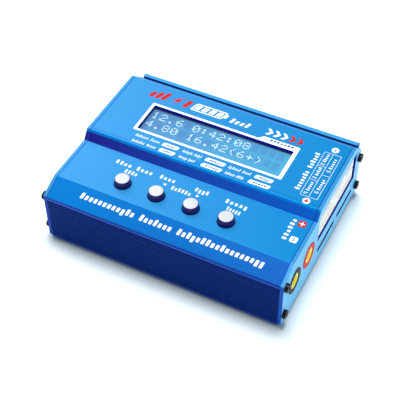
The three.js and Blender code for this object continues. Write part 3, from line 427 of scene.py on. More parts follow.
MATERIALS = {
    "case_blue": finish("anodised_blue", SHEEN_BLUE, tint=case_tint, **ANODISED),
    # The lower case is the same blue; the navy of its front is painted shade.
    "case_navy": finish("anodised_blue_shaded_navy_front", SHEEN_BLUE, tint=case_tint, **ANODISED),
    # The end plates are the same blue; their light faces and dark edges and walls are painted light
    # and shade.
    "end_plate_blue": finish("anodised_blue_painted_light_and_shade", SHEEN_BLUE, tint=plate_tint, **PLATE_FINISH),
    "screw_black": finish("black_oxide", (26, 27, 32), 0.38, 0.75, 0.15, variation=0.3,
                          wear=((95, 98, 105), 0.06, 0.5)),
    "window_clear": finish("clear_window", (225, 245, 255), 0.06, 0, 3, variation=0.02,
                           bump=0.02, Alpha=0.04, Specular_IOR_Level=0.06),
    "lcd_frame_navy": finish("bezel_navy", (34, 20, 124), 0.4, 0.7, 0.2),
    "board_green": finish("solder_mask", (20, 82, 44), 0.45, 0, 1.2, (4, 1, 1), 0.35),
    "button_white": finish("button_white", (196, 200, 203), 0.3, 0, 0.25, variation=0.02,
                           bump=0.1, Coat_Weight=0.3, Coat_Roughness=0.15),
    # Navy as painted shade on the sides of the buttons.
    "button_side": finish("button_side_painted_shade", (50, 28, 118), 0.3, 0, 0.3, (1, 1, 0.2), 0.2,
                          Specular_IOR_Level=0.2, Coat_Weight=0.2, Coat_Roughness=0.1),
    "plastic_black": finish("moulded_black", (22, 22, 25), 0.5, 0, 0.35, variation=0.25,
                            bump=0.3, relief=0.01),
    # A faint glow of painted light brightens the headers.
    "nylon_white": finish("nylon_white", (252, 251, 248), 0.48, 0, 0.6, variation=0.03,
                          Subsurface_Weight=0.15, Subsurface_Radius=(0.001, 0.001, 0.001),
                          Subsurface_Scale=0.5, Emission_Color=(1, 1, 0.98, 1),
                          Emission_Strength=0.19),
    "collar_red": finish("collar_red", (245, 36, 22), 0.45, 0, 0.5, variation=0.06,
                         Specular_IOR_Level=0.12),
    "collar_black": finish("collar_black", (10, 30, 30), 0.45, 0, 0.5, variation=0.2,
                           Specular_IOR_Level=0.12),
    # A faint glow of painted light brightens the brass.
    "brass": finish("turned_brass", (255, 240, 90), 0.35, 0.3, 0.15, (6, 1, 1), 0.08,
                    Specular_IOR_Level=0.2, Emission_Color=(1, 0.84, 0.12, 1),
                    Emission_Strength=0.15),
    "steel": finish("plated_steel", (200, 202, 206), 0.28, 1, 0.2, (5, 1, 1), 0.1),
    "aluminium_bare": finish("bare_aluminium", (205, 207, 210), 0.38, 1, 0.2, (8, 1, 1)),
    "ferrite": finish("ferrite", (52, 52, 55), 0.7, 0, 0.3, variation=0.35, relief=0.02),
    "can_sleeve": finish("can_sleeve", (34, 48, 90), 0.3, 0, 0.8, variation=0.1),
    "rubber_black": finish("rubber", (30, 30, 32), 0.82, 0, 0.2, variation=0.3, relief=0.02),
    "print_white": finish("print_white", (246, 250, 252), 0.45, 0, 0.2, variation=0.02),
    "print_red": finish("print_red", (196, 16, 18), 0.5, 0, 0.2, variation=0.05,
                        Specular_IOR_Level=0.2),
    "print_blue": finish("print_blue", (30, 96, 190), 0.45, 0, 0.2, variation=0.05),
}


def lcd_material(name, left, right, strength):
    """Backlit layer whose colour drifts from the display's left end to its right end."""
    material, tree, shader = new_material(name)
    along = remap(tree, coordinate(tree, "X"), WINDOW_LOW[0] * MM, WINDOW_HIGH[0] * MM)
    cloud = remap(tree, noise(tree, 9), 0.3, 0.7, 0.94, 1.04)
    shade = mixed(tree, product(tree, along, cloud), left, right)
    tree.links.new(shade, shader.inputs["Base Color"])
    tree.links.new(shade, shader.inputs["Emission Color"])
    shader.inputs["Emission Strength"].default_value = strength
    shader.inputs["Specular IOR Level"].default_value = 0.1
    rough = remap(tree, noise(tree, 0.4), 0.3, 0.7, 0.3, 0.42)
    tree.links.new(rough, shader.inputs["Roughness"])
    return material


MATERIALS |= {
    "lcd_blue": lcd_material("lcd_backlight", (36, 114, 168), (14, 144, 186), 0.13),
    "lcd_cell": lcd_material("lcd_cell", (38, 98, 160), (14, 126, 174), 0.12),
    "lcd_dot": lcd_material("lcd_dot", (196, 226, 234), (196, 232, 242), 0.2),
}

# ---- Outlines ----


def filleted(corners, steps=5):
    """A closed outline from (a, b) corners, and (a, b, radius) ones that get an arc."""
    points = []
    for i, (a, b, *rounding) in enumerate(corners):
        corner = Vector((a, b))
        radius = rounding[0] if rounding else 0
        if radius == 0:
            points.append((a, b))
            continue
        before = Vector(corners[i - 1][:2]) - corner
        after = Vector(corners[(i + 1) % len(corners)][:2]) - corner
        half = before.angle(after) / 2
        reach = radius / math.tan(half)
        start, end = corner + before.normalized() * reach, corner + after.normalized() * reach
        bisector = (before.normalized() + after.normalized()).normalized()
        centre = corner + bisector * (radius / math.sin(half))
        turn = (start - centre).angle_signed(end - centre)
        for k in range(steps + 1):
            arm = (start - centre).copy()
            arm.rotate(Matrix.Rotation(-turn * k / steps, 2))
            points.append(tuple(centre + arm))
    return points


def rectangle(a, b, width, height, radius=0.0, steps=4):
    """A rectangle outline with round corners, centred on (a, b)."""
    w, h = width / 2, height / 2
    corners = [(a - w, b - h), (a + w, b - h), (a + w, b + h), (a - w, b + h)]
    return filleted([(p, q, radius) for p, q in corners], steps)


def between(low, high, radius=0.0):
    return rectangle((low[0] + high[0]) / 2, (low[1] + high[1]) / 2, high[0] - low[0],
                     high[1] - low[1], radius)


def circle(a, b, radius, count=48):
    angles = [2 * math.pi * i / count for i in range(count)]
    return [(a + radius * math.cos(t), b + radius * math.sin(t)) for t in angles]


def ribbed_wall(y, low, high, depth):
    """Points up a wall with one round-edged groove for each pitch. A depth above 0 cuts to +Y."""
    points = []
    for i in range(math.floor((high - low) / RIB_PITCH) * RIB_STEPS + 1):
        phase = (i / RIB_STEPS) % 1 - 0.5
        reach = max(0.0, math.cos(math.pi * phase / RIB_WIDTH)) if abs(phase) < RIB_WIDTH / 2 else 0
        points.append((y + depth * reach, low + i / RIB_STEPS * RIB_PITCH))
    return points


def offset_outline(points, distance):
    """An open outline moved to its right-hand side by a wall's thickness, with mitred corners."""
    normals = []
    for (a0, b0), (a1, b1) in zip(points, points[1:]):
        length = math.hypot(a1 - a0, b1 - b0)
        normals.append(Vector(((b1 - b0) / length, -(a1 - a0) / length)))
    moved = []
    for i, point in enumerate(points):
        before, after = normals[max(0, i - 1)], normals[min(i, len(normals) - 1)]
        mitre = distance / (1 + before.dot(after))
        moved.append(tuple(Vector(point) + (before + after) * mitre))
    return moved


# ---- Mesh building ----


def link(made):
    bpy.context.scene.collection.objects.link(made)
    return made


def bridge(bm, loops, closed=False):
    """Faces from each closed loop to the next, and from the last to the first if closed."""
    for one, two in zip(loops, loops[1:] + (loops[:1] if closed else [])):
        for corners in zip(one, one[1:] + one[:1], two[1:] + two[:1], two):
            bm.faces.new(list(dict.fromkeys(corners)))
    return bm


def prism(outline, low, high, into=None):
    """A closed prism over an outline, from height low to high."""
    bm = into or bmesh.new()
    bottom, top = [[bm.verts.new((a, b, z)) for a, b in outline] for z in (low, high)]
    bm.faces.new(list(reversed(bottom)))
    bm.faces.new(top)
    return bridge(bm, [bottom, top])


def ring_prism(outer, inner, low, high, into=None):
    """A closed ring between two outlines with the same number of points."""
    bm = into or bmesh.new()
    loops = [[bm.verts.new((a, b, z)) for a, b in outline]
             for outline, z in [(outer, low), (outer, high), (inner, high), (inner, low)]]
    return bridge(bm, loops, closed=True)


def brick(low, high):
    outline = [(low[0], low[1]), (high[0], low[1]), (high[0], high[1]), (low[0], high[1])]
    return prism(outline, low[2], high[2])


def from_object(source):
    """The mesh of an object with its modifiers, as a bmesh. The object is removed."""
    evaluated = link(source).evaluated_get(bpy.context.evaluated_depsgraph_get())
    mesh = bpy.data.meshes.new_from_object(evaluated)
    bpy.data.objects.remove(source)
    bm = bmesh.new()
    bm.from_mesh(mesh)
    bpy.data.meshes.remove(mesh)
    return bm


def slab(outline, holes, low, high, edge=0.0, steps=2):
    """A plate with holes and round edges, from height low to high."""
    curve = bpy.data.curves.new("outline", "CURVE")
    curve.dimensions = "2D"
    curve.fill_mode = "BOTH"
    curve.extrude = (high - low) / 2 - edge
    curve.bevel_depth = edge
    curve.bevel_resolution = steps
    curve.offset = -edge
    for loop in [outline, *holes]:
        spline = curve.splines.new("POLY")
        spline.points.add(len(loop) - 1)
        for point, (a, b) in zip(spline.points, loop):
            point.co = (a, b, 0, 1)
        spline.use_cyclic_u = True
    bm = from_object(bpy.data.objects.new("outline", curve))
    bmesh.ops.remove_doubles(bm, verts=bm.verts, dist=1e-4)
    bm.transform(Matrix.Translation((0, 0, (low + high) / 2)))
    return bm


def carve(body, tools, operation="DIFFERENCE"):
    """Cuts the tools out of the body, or joins them to it."""
    def as_object(bm):
        mesh = bpy.data.meshes.new("solid")
        bmesh.ops.recalc_face_normals(bm, faces=bm.faces)
        bm.to_mesh(mesh)
        bm.free()
        return bpy.data.objects.new("solid", mesh)

    target = as_object(body)
    helpers = [as_object(tool) for tool in tools]
    for helper in helpers:
        modifier = target.modifiers.new("carve", "BOOLEAN")
        modifier.operation = operation
        modifier.solver = "EXACT"
        modifier.object = link(helper)
    result = from_object(target)
    for helper in helpers:
        bpy.data.objects.remove(helper)
    return result


def round_edges(bm, width, pick=None, segments=2):
    """Rounds the edges that pick chooses, or all that turn by more than 30 degrees."""
    pick = pick or (lambda edge: edge.is_manifold and edge.calc_face_angle(0) > math.radians(30))
    bmesh.ops.recalc_face_normals(bm, faces=bm.faces)
    edges = [edge for edge in bm.edges if pick(edge)]
    bmesh.ops.bevel(bm, geom=edges, offset=width, segments=segments, profile=0.5,
                    affect="EDGES", clamp_overlap=True)
    return bm


def hexagon(angle):
    return math.cos(math.pi / 6) / math.cos((angle + math.pi / 6) % (math.pi / 3) - math.pi / 6)


def turned(profile, segments=64):
    """A piece turned about +Z from (radius, z) points, or (radius, z, shape of the ring) ones.
    The first and last points lie on the axis."""
    bm = bmesh.new()
    rings = []
    for radius, z, *shape in profile:
        if radius == 0:
            rings.append([bm.verts.new((0, 0, z))] * segments)
            continue
        ring = []
        for i in range(segments):
            angle = 2 * math.pi * i / segments
            reach = radius * (shape[0](angle) if shape else 1)
            ring.append(bm.verts.new((reach * math.cos(angle), reach * math.sin(angle), z)))
        rings.append(ring)
    return bridge(bm, rings)


def turned_round(corners, segments=64, steps=3):
    """A turned piece from (radius, z) and (radius, z, fillet) corners."""
    outline = filleted(corners, steps)
    return turned([(0 if r < 1e-6 else r, z) for r, z in outline], segments)


def tube_of(corners, segments=64):
    """A ring turned about +Z from a closed outline of such corners, off the axis."""
    bm = bmesh.new()
    outline = filleted(corners, 3)
    rings = []
    for i in range(segments):
        angle = 2 * math.pi * i / segments
        c, s = math.cos(angle), math.sin(angle)
        rings.append([bm.verts.new((r * c, r * s, z)) for r, z in outline])
    return bridge(bm, rings, closed=True)


def piece(name, bm, finish_name, body="case", at=None, stands_for=(), crease=35):
    """Makes an object from a bmesh in the case's frame, which rides on a body."""
    if at is not None:
        bm.transform(at)
    bm.transform(TO_ROW)
    bmesh.ops.recalc_face_normals(bm, faces=bm.faces)
    mesh = bpy.data.meshes.new(name)
    bm.to_mesh(mesh)
    bm.free()
    mesh.polygons.foreach_set("use_smooth", [True] * len(mesh.polygons))
    mesh.set_sharp_from_angle(angle=math.radians(crease))
    mesh.materials.append(MATERIALS[finish_name])
    made = link(bpy.data.objects.new(name, mesh))
    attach(made, body)
    made.modifiers.new("normals", "WEIGHTED_NORMAL").keep_sharp = True
    if stands_for:
        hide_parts(*stands_for)


def keep(node, finish_name):
    """A CAD node that is shown as it is, with its procedural finish."""
    node_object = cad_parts[node]
    node_object.data.materials.clear()
    node_object.data.materials.append(MATERIALS[finish_name])
    return node_object


# ---- Case ----


def upper_shell():
    """Front flange, title face, button deck, step, display deck and rear chamfer."""
    foot = PARTING_Z + PARTING_GAP
    sharp = [(0, foot), (0, FRONT_EDGE_Z), (BUTTON_DECK_Y, BUTTON_DECK_Z),
             (STEP_FOOT_Y, BUTTON_DECK_Z), (STEP_TOP_Y, DISPLAY_DECK_Z),
             (CHAMFER_TOP_Y, DISPLAY_DECK_Z), CHAMFER_FOOT, (CHAMFER_FOOT[0], REAR_FLANGE_Z)]
    radii = [0, 0.45, 0.6, 0.25, 0.3, 0.5, 0.5, 0]
    outer = [(a, b, r) for (a, b), r in zip(sharp, radii)]
    groove = [(DECK_GROOVE_Y - DECK_GROOVE, DISPLAY_DECK_Z),
              (DECK_GROOVE_Y, DISPLAY_DECK_Z - 1.4 * DECK_GROOVE),
              (DECK_GROOVE_Y + DECK_GROOVE, DISPLAY_DECK_Z)]
    ribs = ribbed_wall(0, foot, FRONT_EDGE_Z - RIB_BAND, RIB_DEPTH)
    section = filleted([*ribs, *outer[1:5], *groove, *outer[5:],
                        *reversed(offset_outline(sharp, UPPER_WALL))])
    body = prism(section, -SHELL_END, SHELL_END)
    body.transform(ALONG_X)
    cutters = [prism(between(WINDOW_LOW, WINDOW_HIGH, WINDOW_CORNER), *WINDOW_CUT)]
    places = [centre_of(name) for name in BUTTON_NAMES]
    cutters += [prism(circle(p.x, p.y, BUTTON_HOLE_R), *BUTTON_CUT) for p in places]
    body = carve(body, cutters)

    def on_rim(edge):
        """Edges of the openings, on the two decks' upper faces."""
        spots = [vert.co for vert in edge.verts]
        decks = (BUTTON_DECK_Z, DISPLAY_DECK_Z)
        flat = any(all(abs(s.z - deck) < 1e-3 for s in spots) for deck in decks)
        inside_ends = all(abs(s.x) < OPENINGS_REACH for s in spots)
        return flat and edge.calc_face_angle(0) > 1 and inside_ends

    round_edges(body, 0.18, on_rim)
    piece("upper_case", body, "case_blue", stands_for=["upper_shell"])


def lower_shell():
    """Ribbed front wall, floor, and rear wall with its lip."""
    front = ribbed_wall(0, PLATE_CORNER, PARTING_Z - PARTING_GAP, RIB_DEPTH)
    rear_top = LOWER_HIGH.z
    rear = ribbed_wall(CASE_DEPTH, PLATE_CORNER, rear_top - RIB_BAND, -RIB_DEPTH)
    section = filleted([
        (0, 0, SHELL_CORNER),
        *front,
        (0, PARTING_Z, 0.15),
        (LOWER_WALL, PARTING_Z, 0.15),
        (LOWER_WALL, LOWER_WALL, 0.4),
        (REAR_WALL_INNER_Y, LOWER_WALL, 0.4),
        (REAR_WALL_INNER_Y, rear_top, 0.3),
        (CASE_DEPTH, rear_top, 0.4),
        *reversed(rear),
        (CASE_DEPTH, 0, SHELL_CORNER),
    ])
    body = prism(section, -SHELL_END, SHELL_END)
    piece("lower_case", body, "case_navy", at=ALONG_X, stands_for=["lower_shell"])


def plate_outline():
    slope = (DISPLAY_DECK_Z - CHAMFER_FOOT[1]) / (CHAMFER_FOOT[0] - CHAMFER_TOP_Y)
    return filleted([
        (PLATE_CORNER, 0, 0.5),
        (PLATE_DEPTH - PLATE_CORNER, 0, 0.5),
        (PLATE_DEPTH, PLATE_CORNER, 0.5),
        (PLATE_DEPTH, DISPLAY_DECK_Z - slope * (PLATE_DEPTH - CHAMFER_TOP_Y), 0.6),
        (CHAMFER_TOP_Y, DISPLAY_DECK_Z, 0.6),
        (STEP_TOP_Y, DISPLAY_DECK_Z, 0.3),
        (STEP_FOOT_Y, BUTTON_DECK_Z, 0.3),
        (BUTTON_DECK_Y, BUTTON_DECK_Z, 0.6),
        (0, FRONT_EDGE_Z, 0.5),
        (0, PLATE_CORNER, 0.5),
    ])


def hole_at(node, radius, count=48):
    spot = centre_of(node)
    return circle(spot.y, spot.z, radius, count)


def end_plate(side, holes, low, high):
    """An end plate with its screw holes and the others that it needs."""
    screws = [hole_at(node, SCREW_HOLE_R, 24) for node in nodes_named(f"end_screw_{side}")]
    bm = slab(plate_outline(), [*screws, *holes], low, high, PLATE_EDGE)
    piece(f"{side}_end_plate", bm, "end_plate_blue", at=ALONG_X, stands_for=[f"end_plate_{side}"])


def right_plate():
    holes = [between(*BALANCE_CUTOUT, 0.5)]
    holes += [between(*vent, VENT_HEIGHT / 2 - 0.01) for vent in VENTS]
    holes += [hole_at(f"output_collar_{colour}", OUTPUT_HOLE_R) for colour in ("red", "black")]
    end_plate("right", holes, PLATE_BACK, PLATE_FACE)


def left_plate():
    """Left end plate, whose grille is a round field of slots in front of the fan."""
    holes = [hole_at("inlet_pin", INLET_HOLE_R)]
    for node, gap in (("data_port", 0.25), ("temperature_port", 0.2)):
        low, high = case_box(node)
        holes.append(between((low.y - gap, low.z - gap), (high.y + gap, high.z + gap), 0.5))
    rows = math.floor((FAN_BORE_R - GRILLE_SLOT) / GRILLE_PITCH)
    for i in range(-rows, rows + 1):
        rise = i * GRILLE_PITCH
        width = 2 * math.sqrt(FAN_BORE_R ** 2 - (abs(rise) + GRILLE_SLOT / 2) ** 2)
        holes.append(rectangle(FAN_PLACE.y, FAN_PLACE.z + rise, width, GRILLE_SLOT,
                               GRILLE_SLOT / 2 - 0.01))
    end_plate("left", holes, -PLATE_FACE, -PLATE_BACK)


def end_screws():
    """Cap screws with a smooth head and a hexagon socket, drawn from the shank's tip to the
    socket's floor with the head's seat at 0."""
    profile = [(0, -7), (0.75, -7), (0.9, -6.8), (0.9, 0), (1.75, 0), (1.82, 0.04), (1.85, 0.12),
               (1.85, 1.15), (1.81, 1.29), (1.72, 1.37), (1.6, 1.4), (0.96, 1.4, hexagon),
               (0.9, 1.34, hexagon), (0.9, 0.6, hexagon), (0, 0.4)]
    for side, sign in (("right", 1), ("left", -1)):
        for node in nodes_named(f"end_screw_{side}"):
            spot = centre_of(node)
            turn = Matrix.Rotation(0.4 + spot.y + spot.z, 4, "Z")
            seat = Matrix.Translation((sign * PLATE_FACE, spot.y, spot.z))
            flip = Matrix.Rotation(0 if sign > 0 else math.pi, 4, "Z")
            at = seat @ flip @ ALONG_X @ turn
            piece(node.replace("end_screw", "cap_screw"), turned(profile, 104), "screw_black",
                  at=at, stands_for=[node], crease=30)


def feet():
    """Round feet with a shallow dish in their underside."""
    for node in nodes_named("foot_"):
        low, high = case_box(node)
        radius = (high.x - low.x) / 2
        bm = turned_round([(0, high.z), (radius, high.z), (radius, low.z, 0.3),
                           (radius - 0.9, low.z, 0.1), (radius - 1.2, low.z + 0.25, 0.1),
                           (0, low.z + 0.25)])
        spot = centre_of(node)
        at = Matrix.Translation((spot.x, spot.y, 0))
        piece(node.replace("foot", "rubber_foot"), bm, "rubber_black", at=at, stands_for=[node])


# ---- Buttons and display ----


def buttons():
    """A tapered cap, coloured navy as painted shade on its sides, with a white disc let into its
    top. Both travel with the button.
    """
    for i, node in enumerate(BUTTON_NAMES, 1):
        low, high = case_box(node)
        at = Matrix.Translation(((low.x + high.x) / 2, (low.y + high.y) / 2, 0))
        rim = high.z - 0.12
        flange_low, flange_high = BUTTON_FLANGE_Z
        cap = turned_round([
            (0, low.z),
            (BUTTON_STEM_R, low.z, 0.15),
            (BUTTON_STEM_R, flange_low, 0.1),
            (BUTTON_FLANGE_R, flange_low, 0.1),
            (BUTTON_FLANGE_R, flange_high, 0.1),
            (BUTTON_R, flange_high, 0.15),
            (BUTTON_R, rim - BUTTON_TAPER, 0.8),
            (BUTTON_TOP_R, rim, 0.06),
            (DISC_SEAT_R, rim, 0.02),
            (DISC_SEAT_R, rim - DISC_SEAT_DEPTH, 0.03),
            (0, rim - DISC_SEAT_DEPTH),
        ])
        piece(f"button_{i}_cap", cap, "button_side", f"button_{i}", at, [node])
        disc = turned_round([(0, rim - 0.28), (DISC_R, rim - 0.28, 0.05),
                             (DISC_R, high.z - 0.02, 0.14), (1.6, high.z, 0.5), (0, high.z)])
        piece(f"button_{i}_disc", disc, "button_white", f"button_{i}", at.copy())


# Five by seven dots for each character that the display shows
DOT_ROWS = {
    "0": "01110 10001 10011 10101 11001 10001 01110",
    "1": "00100 01100 00100 00100 00100 00100 01110",
    "2": "01110 10001 00001 00110 01000 10000 11111",
    "4": "00010 00110 01010 10010 11111 00010 00010",
    "6": "00110 01000 10000 11110 10001 10001 01110",
    "8": "01110 10001 10001 01110 10001 10001 01110",
    ".": "00000 00000 00000 00000 00000 01100 01100",
    ":": "00000 01100 01100 00000 01100 01100 00000",
    "+": "00000 00100 00100 11111 00100 00100 00000",
    "(": "00010 00100 01000 01000 01000 00100 00010",
    ")": "01000 00100 00010 00010 00010 00100 01000",
}
DISPLAY_LINES = ["12.6 0:42:08", "4.80 16.42(6+)"]
CELL_COUNT = 16
CELL_PITCH = (3.75, 5.5)
CELL_FIRST = (-30.9, 55.5)
DOT_PITCH = (0.58, 0.56)
DOT_SIZE = 0.45


def display():
    """Dot-matrix characters and their faint cells on the lit glass."""
    glass = case_box("lcd_glass")[1].z
    cells, dots = bmesh.new(), bmesh.new()
    for row, text in enumerate(DISPLAY_LINES):
        for column, character in enumerate(text.ljust(CELL_COUNT)):
            a = CELL_FIRST[0] + column * CELL_PITCH[0]
            b = CELL_FIRST[1] - row * CELL_PITCH[1]
            cell = rectangle(a, b, 5 * DOT_PITCH[0], 7 * DOT_PITCH[1])
            prism(cell, glass - 0.01, glass + 0.01, cells)
            for r, line in enumerate(DOT_ROWS.get(character, "").split()):
                for c, lit in enumerate(line):
                    if lit == "1":
                        u, v = a + (c - 2) * DOT_PITCH[0], b + (3 - r) * DOT_PITCH[1]
                        prism(rectangle(u, v, DOT_SIZE, DOT_SIZE), glass, glass + 0.03, dots)
    piece("display_cells", cells, "lcd_cell")
    piece("display_dots", dots, "lcd_dot")
    keep("lcd_glass", "lcd_blue")
    keep("lcd_frame", "lcd_frame_navy")
    keep("display_window", "window_clear")


# ---- Sockets and ports ----


def header_shell(low, high, sign):
    """A header's housing with its open mouth along sign * X and a key slot in its upper wall."""
    face, rear = (high.x, low.x) if sign > 0 else (low.x, high.x)
    x0, x1 = sorted((rear + sign * HEADER_BACK, face + sign))
    cavity = brick((x0, low.y + HEADER_WALL, low.z + HEADER_WALL),
                   (x1, high.y - HEADER_WALL, high.z - HEADER_WALL))
    width, depth, from_end = HEADER_KEY
    y = high.y - from_end if sign > 0 else low.y + from_end
    x0, x1 = sorted((face - sign * depth, face + sign))
    key = brick((x0, y - width / 2, high.z - HEADER_WALL - 0.1), (x1, y + width / 2, high.z + 1))
    return round_edges(carve(brick(low, high), [cavity, key]), 0.12)


def header_pins(low, high, sign):
    """Square contact pins with pointed tips, one for each pole."""
    poles = round((high.y - low.y - HEADER_ENDS) / HEADER_PITCH) + 1
    first = (low.y + high.y - (poles - 1) * HEADER_PITCH) / 2
    bm = bmesh.new()
    half = PIN_SIDE / 2
    inset = HEADER_BACK - PIN_ROOT
    root = low.x + inset if sign > 0 else high.x - inset
    for i in range(poles):
        rings = []
        for along, size in ((0, half), (PIN_LENGTH - 0.5, half), (PIN_LENGTH, half * 0.45)):
            corners = [(-size, -size), (size, -size), (size, size), (-size, size)]
            spots = [(root + sign * along, first + i * HEADER_PITCH + a, (low.z + high.z) / 2 + b)
                     for a, b in corners]
            rings.append([bm.verts.new(spot) for spot in spots])
        bm.faces.new(rings[0])
        bm.faces.new(rings[-1])
        bridge(bm, rings)
    return bm


def headers():
    nodes = [(f"balance_socket_{cells}_cells", 1) for cells in range(2, 7)]
    for node, sign in [*nodes, ("temperature_port", -1)]:
        low, high = case_box(node)
        piece(f"{node}_housing", header_shell(low, high, sign), "nylon_white", stands_for=[node])
        piece(f"{node}_pins", header_pins(low, high, sign), "steel")


def output_sockets():
    """Insulating collars and turned brass barrels."""
    for colour in ("red", "black"):
        ring, core = f"output_collar_{colour}", f"output_barrel_{colour}"
        low, high = case_box(ring)
        spot = centre_of(ring)
        at = Matrix.Translation((0, spot.y, spot.z)) @ ALONG_X
        face = high.x
        collar = tube_of([
            (COLLAR_BORE_R, low.x),
            (COLLAR_SLEEVE_R, low.x, 0.1),
            (COLLAR_SLEEVE_R, PLATE_FACE),
            (COLLAR_FLANGE_R, PLATE_FACE),
            (COLLAR_FLANGE_R, face, 0.16),
            (COLLAR_BORE_R, face, 0.1),
        ])
        piece(f"{colour}_collar", collar, f"collar_{colour}", at=at, stands_for=[ring])
        root, mouth = case_box(core)[0].x, face - 0.2
        barrel = turned_round([
            (0, root),
            (BARREL_R, root, 0.2),
            (BARREL_R, mouth, 0.2),
            (BARREL_BORE_R, mouth, 0.25),
            (BARREL_BORE_R, root + BARREL_FLOOR, 0.2),
            (0, root + BARREL_FLOOR),
        ])
        piece(f"{colour}_barrel", barrel, "brass", at=at.copy(), stands_for=[core])
        keep(f"output_nut_{colour}", "steel")


def inlet():
    """Direct-current inlet: a nose with its bore, the block behind it, and the centre pin."""
    low, high = case_box("inlet_jack")
    pin_low, pin_high = case_box("inlet_pin")
    spot = centre_of("inlet_pin")
    depth = -PLATE_BACK - low.x + 0.1
    at = Matrix.Translation((low.x, spot.y, spot.z)) @ ALONG_X
    nose = tube_of([(INLET_BORE_R, 0, 0.25), (INLET_NOSE_R, 0, 0.3), (INLET_NOSE_R, depth),
                    (INLET_BORE_R, depth)])
    piece("inlet_nose", nose, "plastic_black", at=at, stands_for=["inlet_jack"])
    block = brick((-PLATE_BACK + 0.1, low.y, low.z), high)
    bores = [prism(circle(0, 0, INLET_BORE_R), 0, 10),
             prism(circle(0, 0, INLET_PASSAGE_R), 9, 30)]
    for bore in bores:
        bore.transform(at)
    piece("inlet_block", round_edges(carve(block, bores), 0.25), "plastic_black")
    radius = (pin_high.y - pin_low.y) / 2
    pin = turned_round([(0, pin_low.x), (radius, pin_low.x, 0.4), (radius, pin_high.x, 0.2),
                        (0, pin_high.x)], 32)
    at = Matrix.Translation((0, spot.y, spot.z)) @ ALONG_X
    piece("inlet_contact", pin, "steel", at=at, stands_for=["inlet_pin"])


def data_port():
    """Folded metal shell with a contact tongue."""
    low, high = case_box("data_port")
    y, z = (low.y + high.y) / 2, (low.z + high.z) / 2
    width, height = high.y - low.y, high.z - low.z
    wall = 2 * DATA_PORT_WALL
    outer = rectangle(y, z, width, height, 0.6)
    inner = rectangle(y, z, width - wall, height - wall, 0.35)
    piece("data_port_shell", ring_prism(outer, inner, low.x, high.x), "steel", at=ALONG_X,
          stands_for=["data_port"])
    tongue = brick((low.x + 0.8, y - 2, z - 0.3), (high.x - 0.3, y + 2, z + 0.3))
    piece("data_port_tongue", round_edges(tongue, 0.1), "plastic_black")
    back = prism(inner, high.x - 0.5, high.x - 0.1)
    piece("data_port_back", back, "plastic_black", at=ALONG_X)


# ---- Fan ----


def fan():
    """Frame with a round duct and a strutted motor plate, and a rotor with twisted blades."""
    holes = [circle(0, 0, FAN_BORE_R, 72)]
    holes += [circle(a, b, FAN_HOLE_R, 24) for a in (-FAN_HOLE_AT, FAN_HOLE_AT)
              for b in (-FAN_HOLE_AT, FAN_HOLE_AT)]
    duct = slab(rectangle(0, 0, FAN_SIZE, FAN_SIZE, 2), holes, 0, FAN_THICKNESS, 0.2)
    plate_low = FAN_THICKNESS - 1
    plate = prism(circle(0, 0, FAN_PLATE_R), plate_low, FAN_THICKNESS)
    struts = []
    for i in range(3):
        strut = brick((-STRUT_WIDTH / 2, FAN_PLATE_R - 1, plate_low),
                      (STRUT_WIDTH / 2, FAN_BORE_R + 0.1, FAN_THICKNESS))
        strut.transform(Matrix.Rotation(i * 2 * math.pi / 3, 4, "Z"))
        struts.append(strut)
    spider = carve(plate, struts, "UNION")
    bore = circle(0, 0, FAN_PLATE_BORE_R, 24)
    spider = carve(spider, [prism(bore, 0, FAN_THICKNESS + 1)])
    at = Matrix.Translation((FAN_LOW.x, FAN_PLACE.y, FAN_PLACE.z)) @ ALONG_X
    piece("fan_duct", duct, "plastic_black", at=at, stands_for=["fan_frame"])
    piece("fan_spider", round_edges(spider, 0.12), "plastic_black", at=at.copy())

    shaft_end = case_box("fan_rotor")[1].x - FAN_LOW.x
    front, back = FAN_HUB_FRONT, FAN_HUB_FRONT + FAN_HUB_DEPTH
    hub = turned_round([(0, front), (FAN_HUB_R, front, 0.6), (FAN_HUB_R, back, 0.2),
                        (FAN_SHAFT_R, back), (FAN_SHAFT_R, shaft_end, 0.1), (0, shaft_end)])
    blades = [fan_blade(i * 2 * math.pi / BLADE_COUNT, front + 0.3, back - 0.3)
              for i in range(BLADE_COUNT)]
    rotor = carve(hub, blades, "UNION")
    piece("fan_impeller", rotor, "plastic_black", "rotor", at.copy(), ["fan_rotor"])


def fan_blade(turn, low, high, steps=6, thickness=0.6):
    """A twisted blade from inside the hub to the tip circle, as a closed sheet."""
    bm = bmesh.new()
    sides = []
    for side in (-thickness / 2, thickness / 2):
        grid = []
        for i in range(steps + 1):
            radius = BLADE_R[0] + (BLADE_R[1] - BLADE_R[0]) * i / steps
            row = []
            for k in range(steps + 1):
                share = k / steps
                bow = BLADE_BOW * math.sin(math.pi * share)
                sweep = turn + (share - 0.5) * BLADE_SWEEP + side / radius + bow
                row.append(bm.verts.new((radius * math.cos(sweep), radius * math.sin(sweep),
                                         low + (high - low) * share)))
            grid.append(row)
        sides.append(grid)
    rims = []
    for grid in sides:
        for i in range(steps):
            for k in range(steps):
                bm.faces.new((grid[i][k], grid[i + 1][k], grid[i + 1][k + 1], grid[i][k + 1]))
        rim = [row[0] for row in grid] + grid[-1][1:]
        rim += [row[-1] for row in reversed(grid[:-1])] + list(reversed(grid[0][1:-1]))
        rims.append(rim)
    return bridge(bm, rims)


# ---- Printing ----
# All marks are generic: blocks in place of letters, plus and minus signs, arrows, battery
# outlines and cell numbers. Their places are in millimetres, x from the middle and y from the
# front face.

DISPLAY_PLANE = Matrix.Translation((0, 0, DISPLAY_DECK_Z))
BUTTON_PLANE = Matrix.Translation((0, 0, BUTTON_DECK_Z))
TITLE_PLANE = Matrix.Translation((0, 0, FRONT_EDGE_Z)) @ Matrix.Rotation(TITLE_SLOPE, 4, "X")


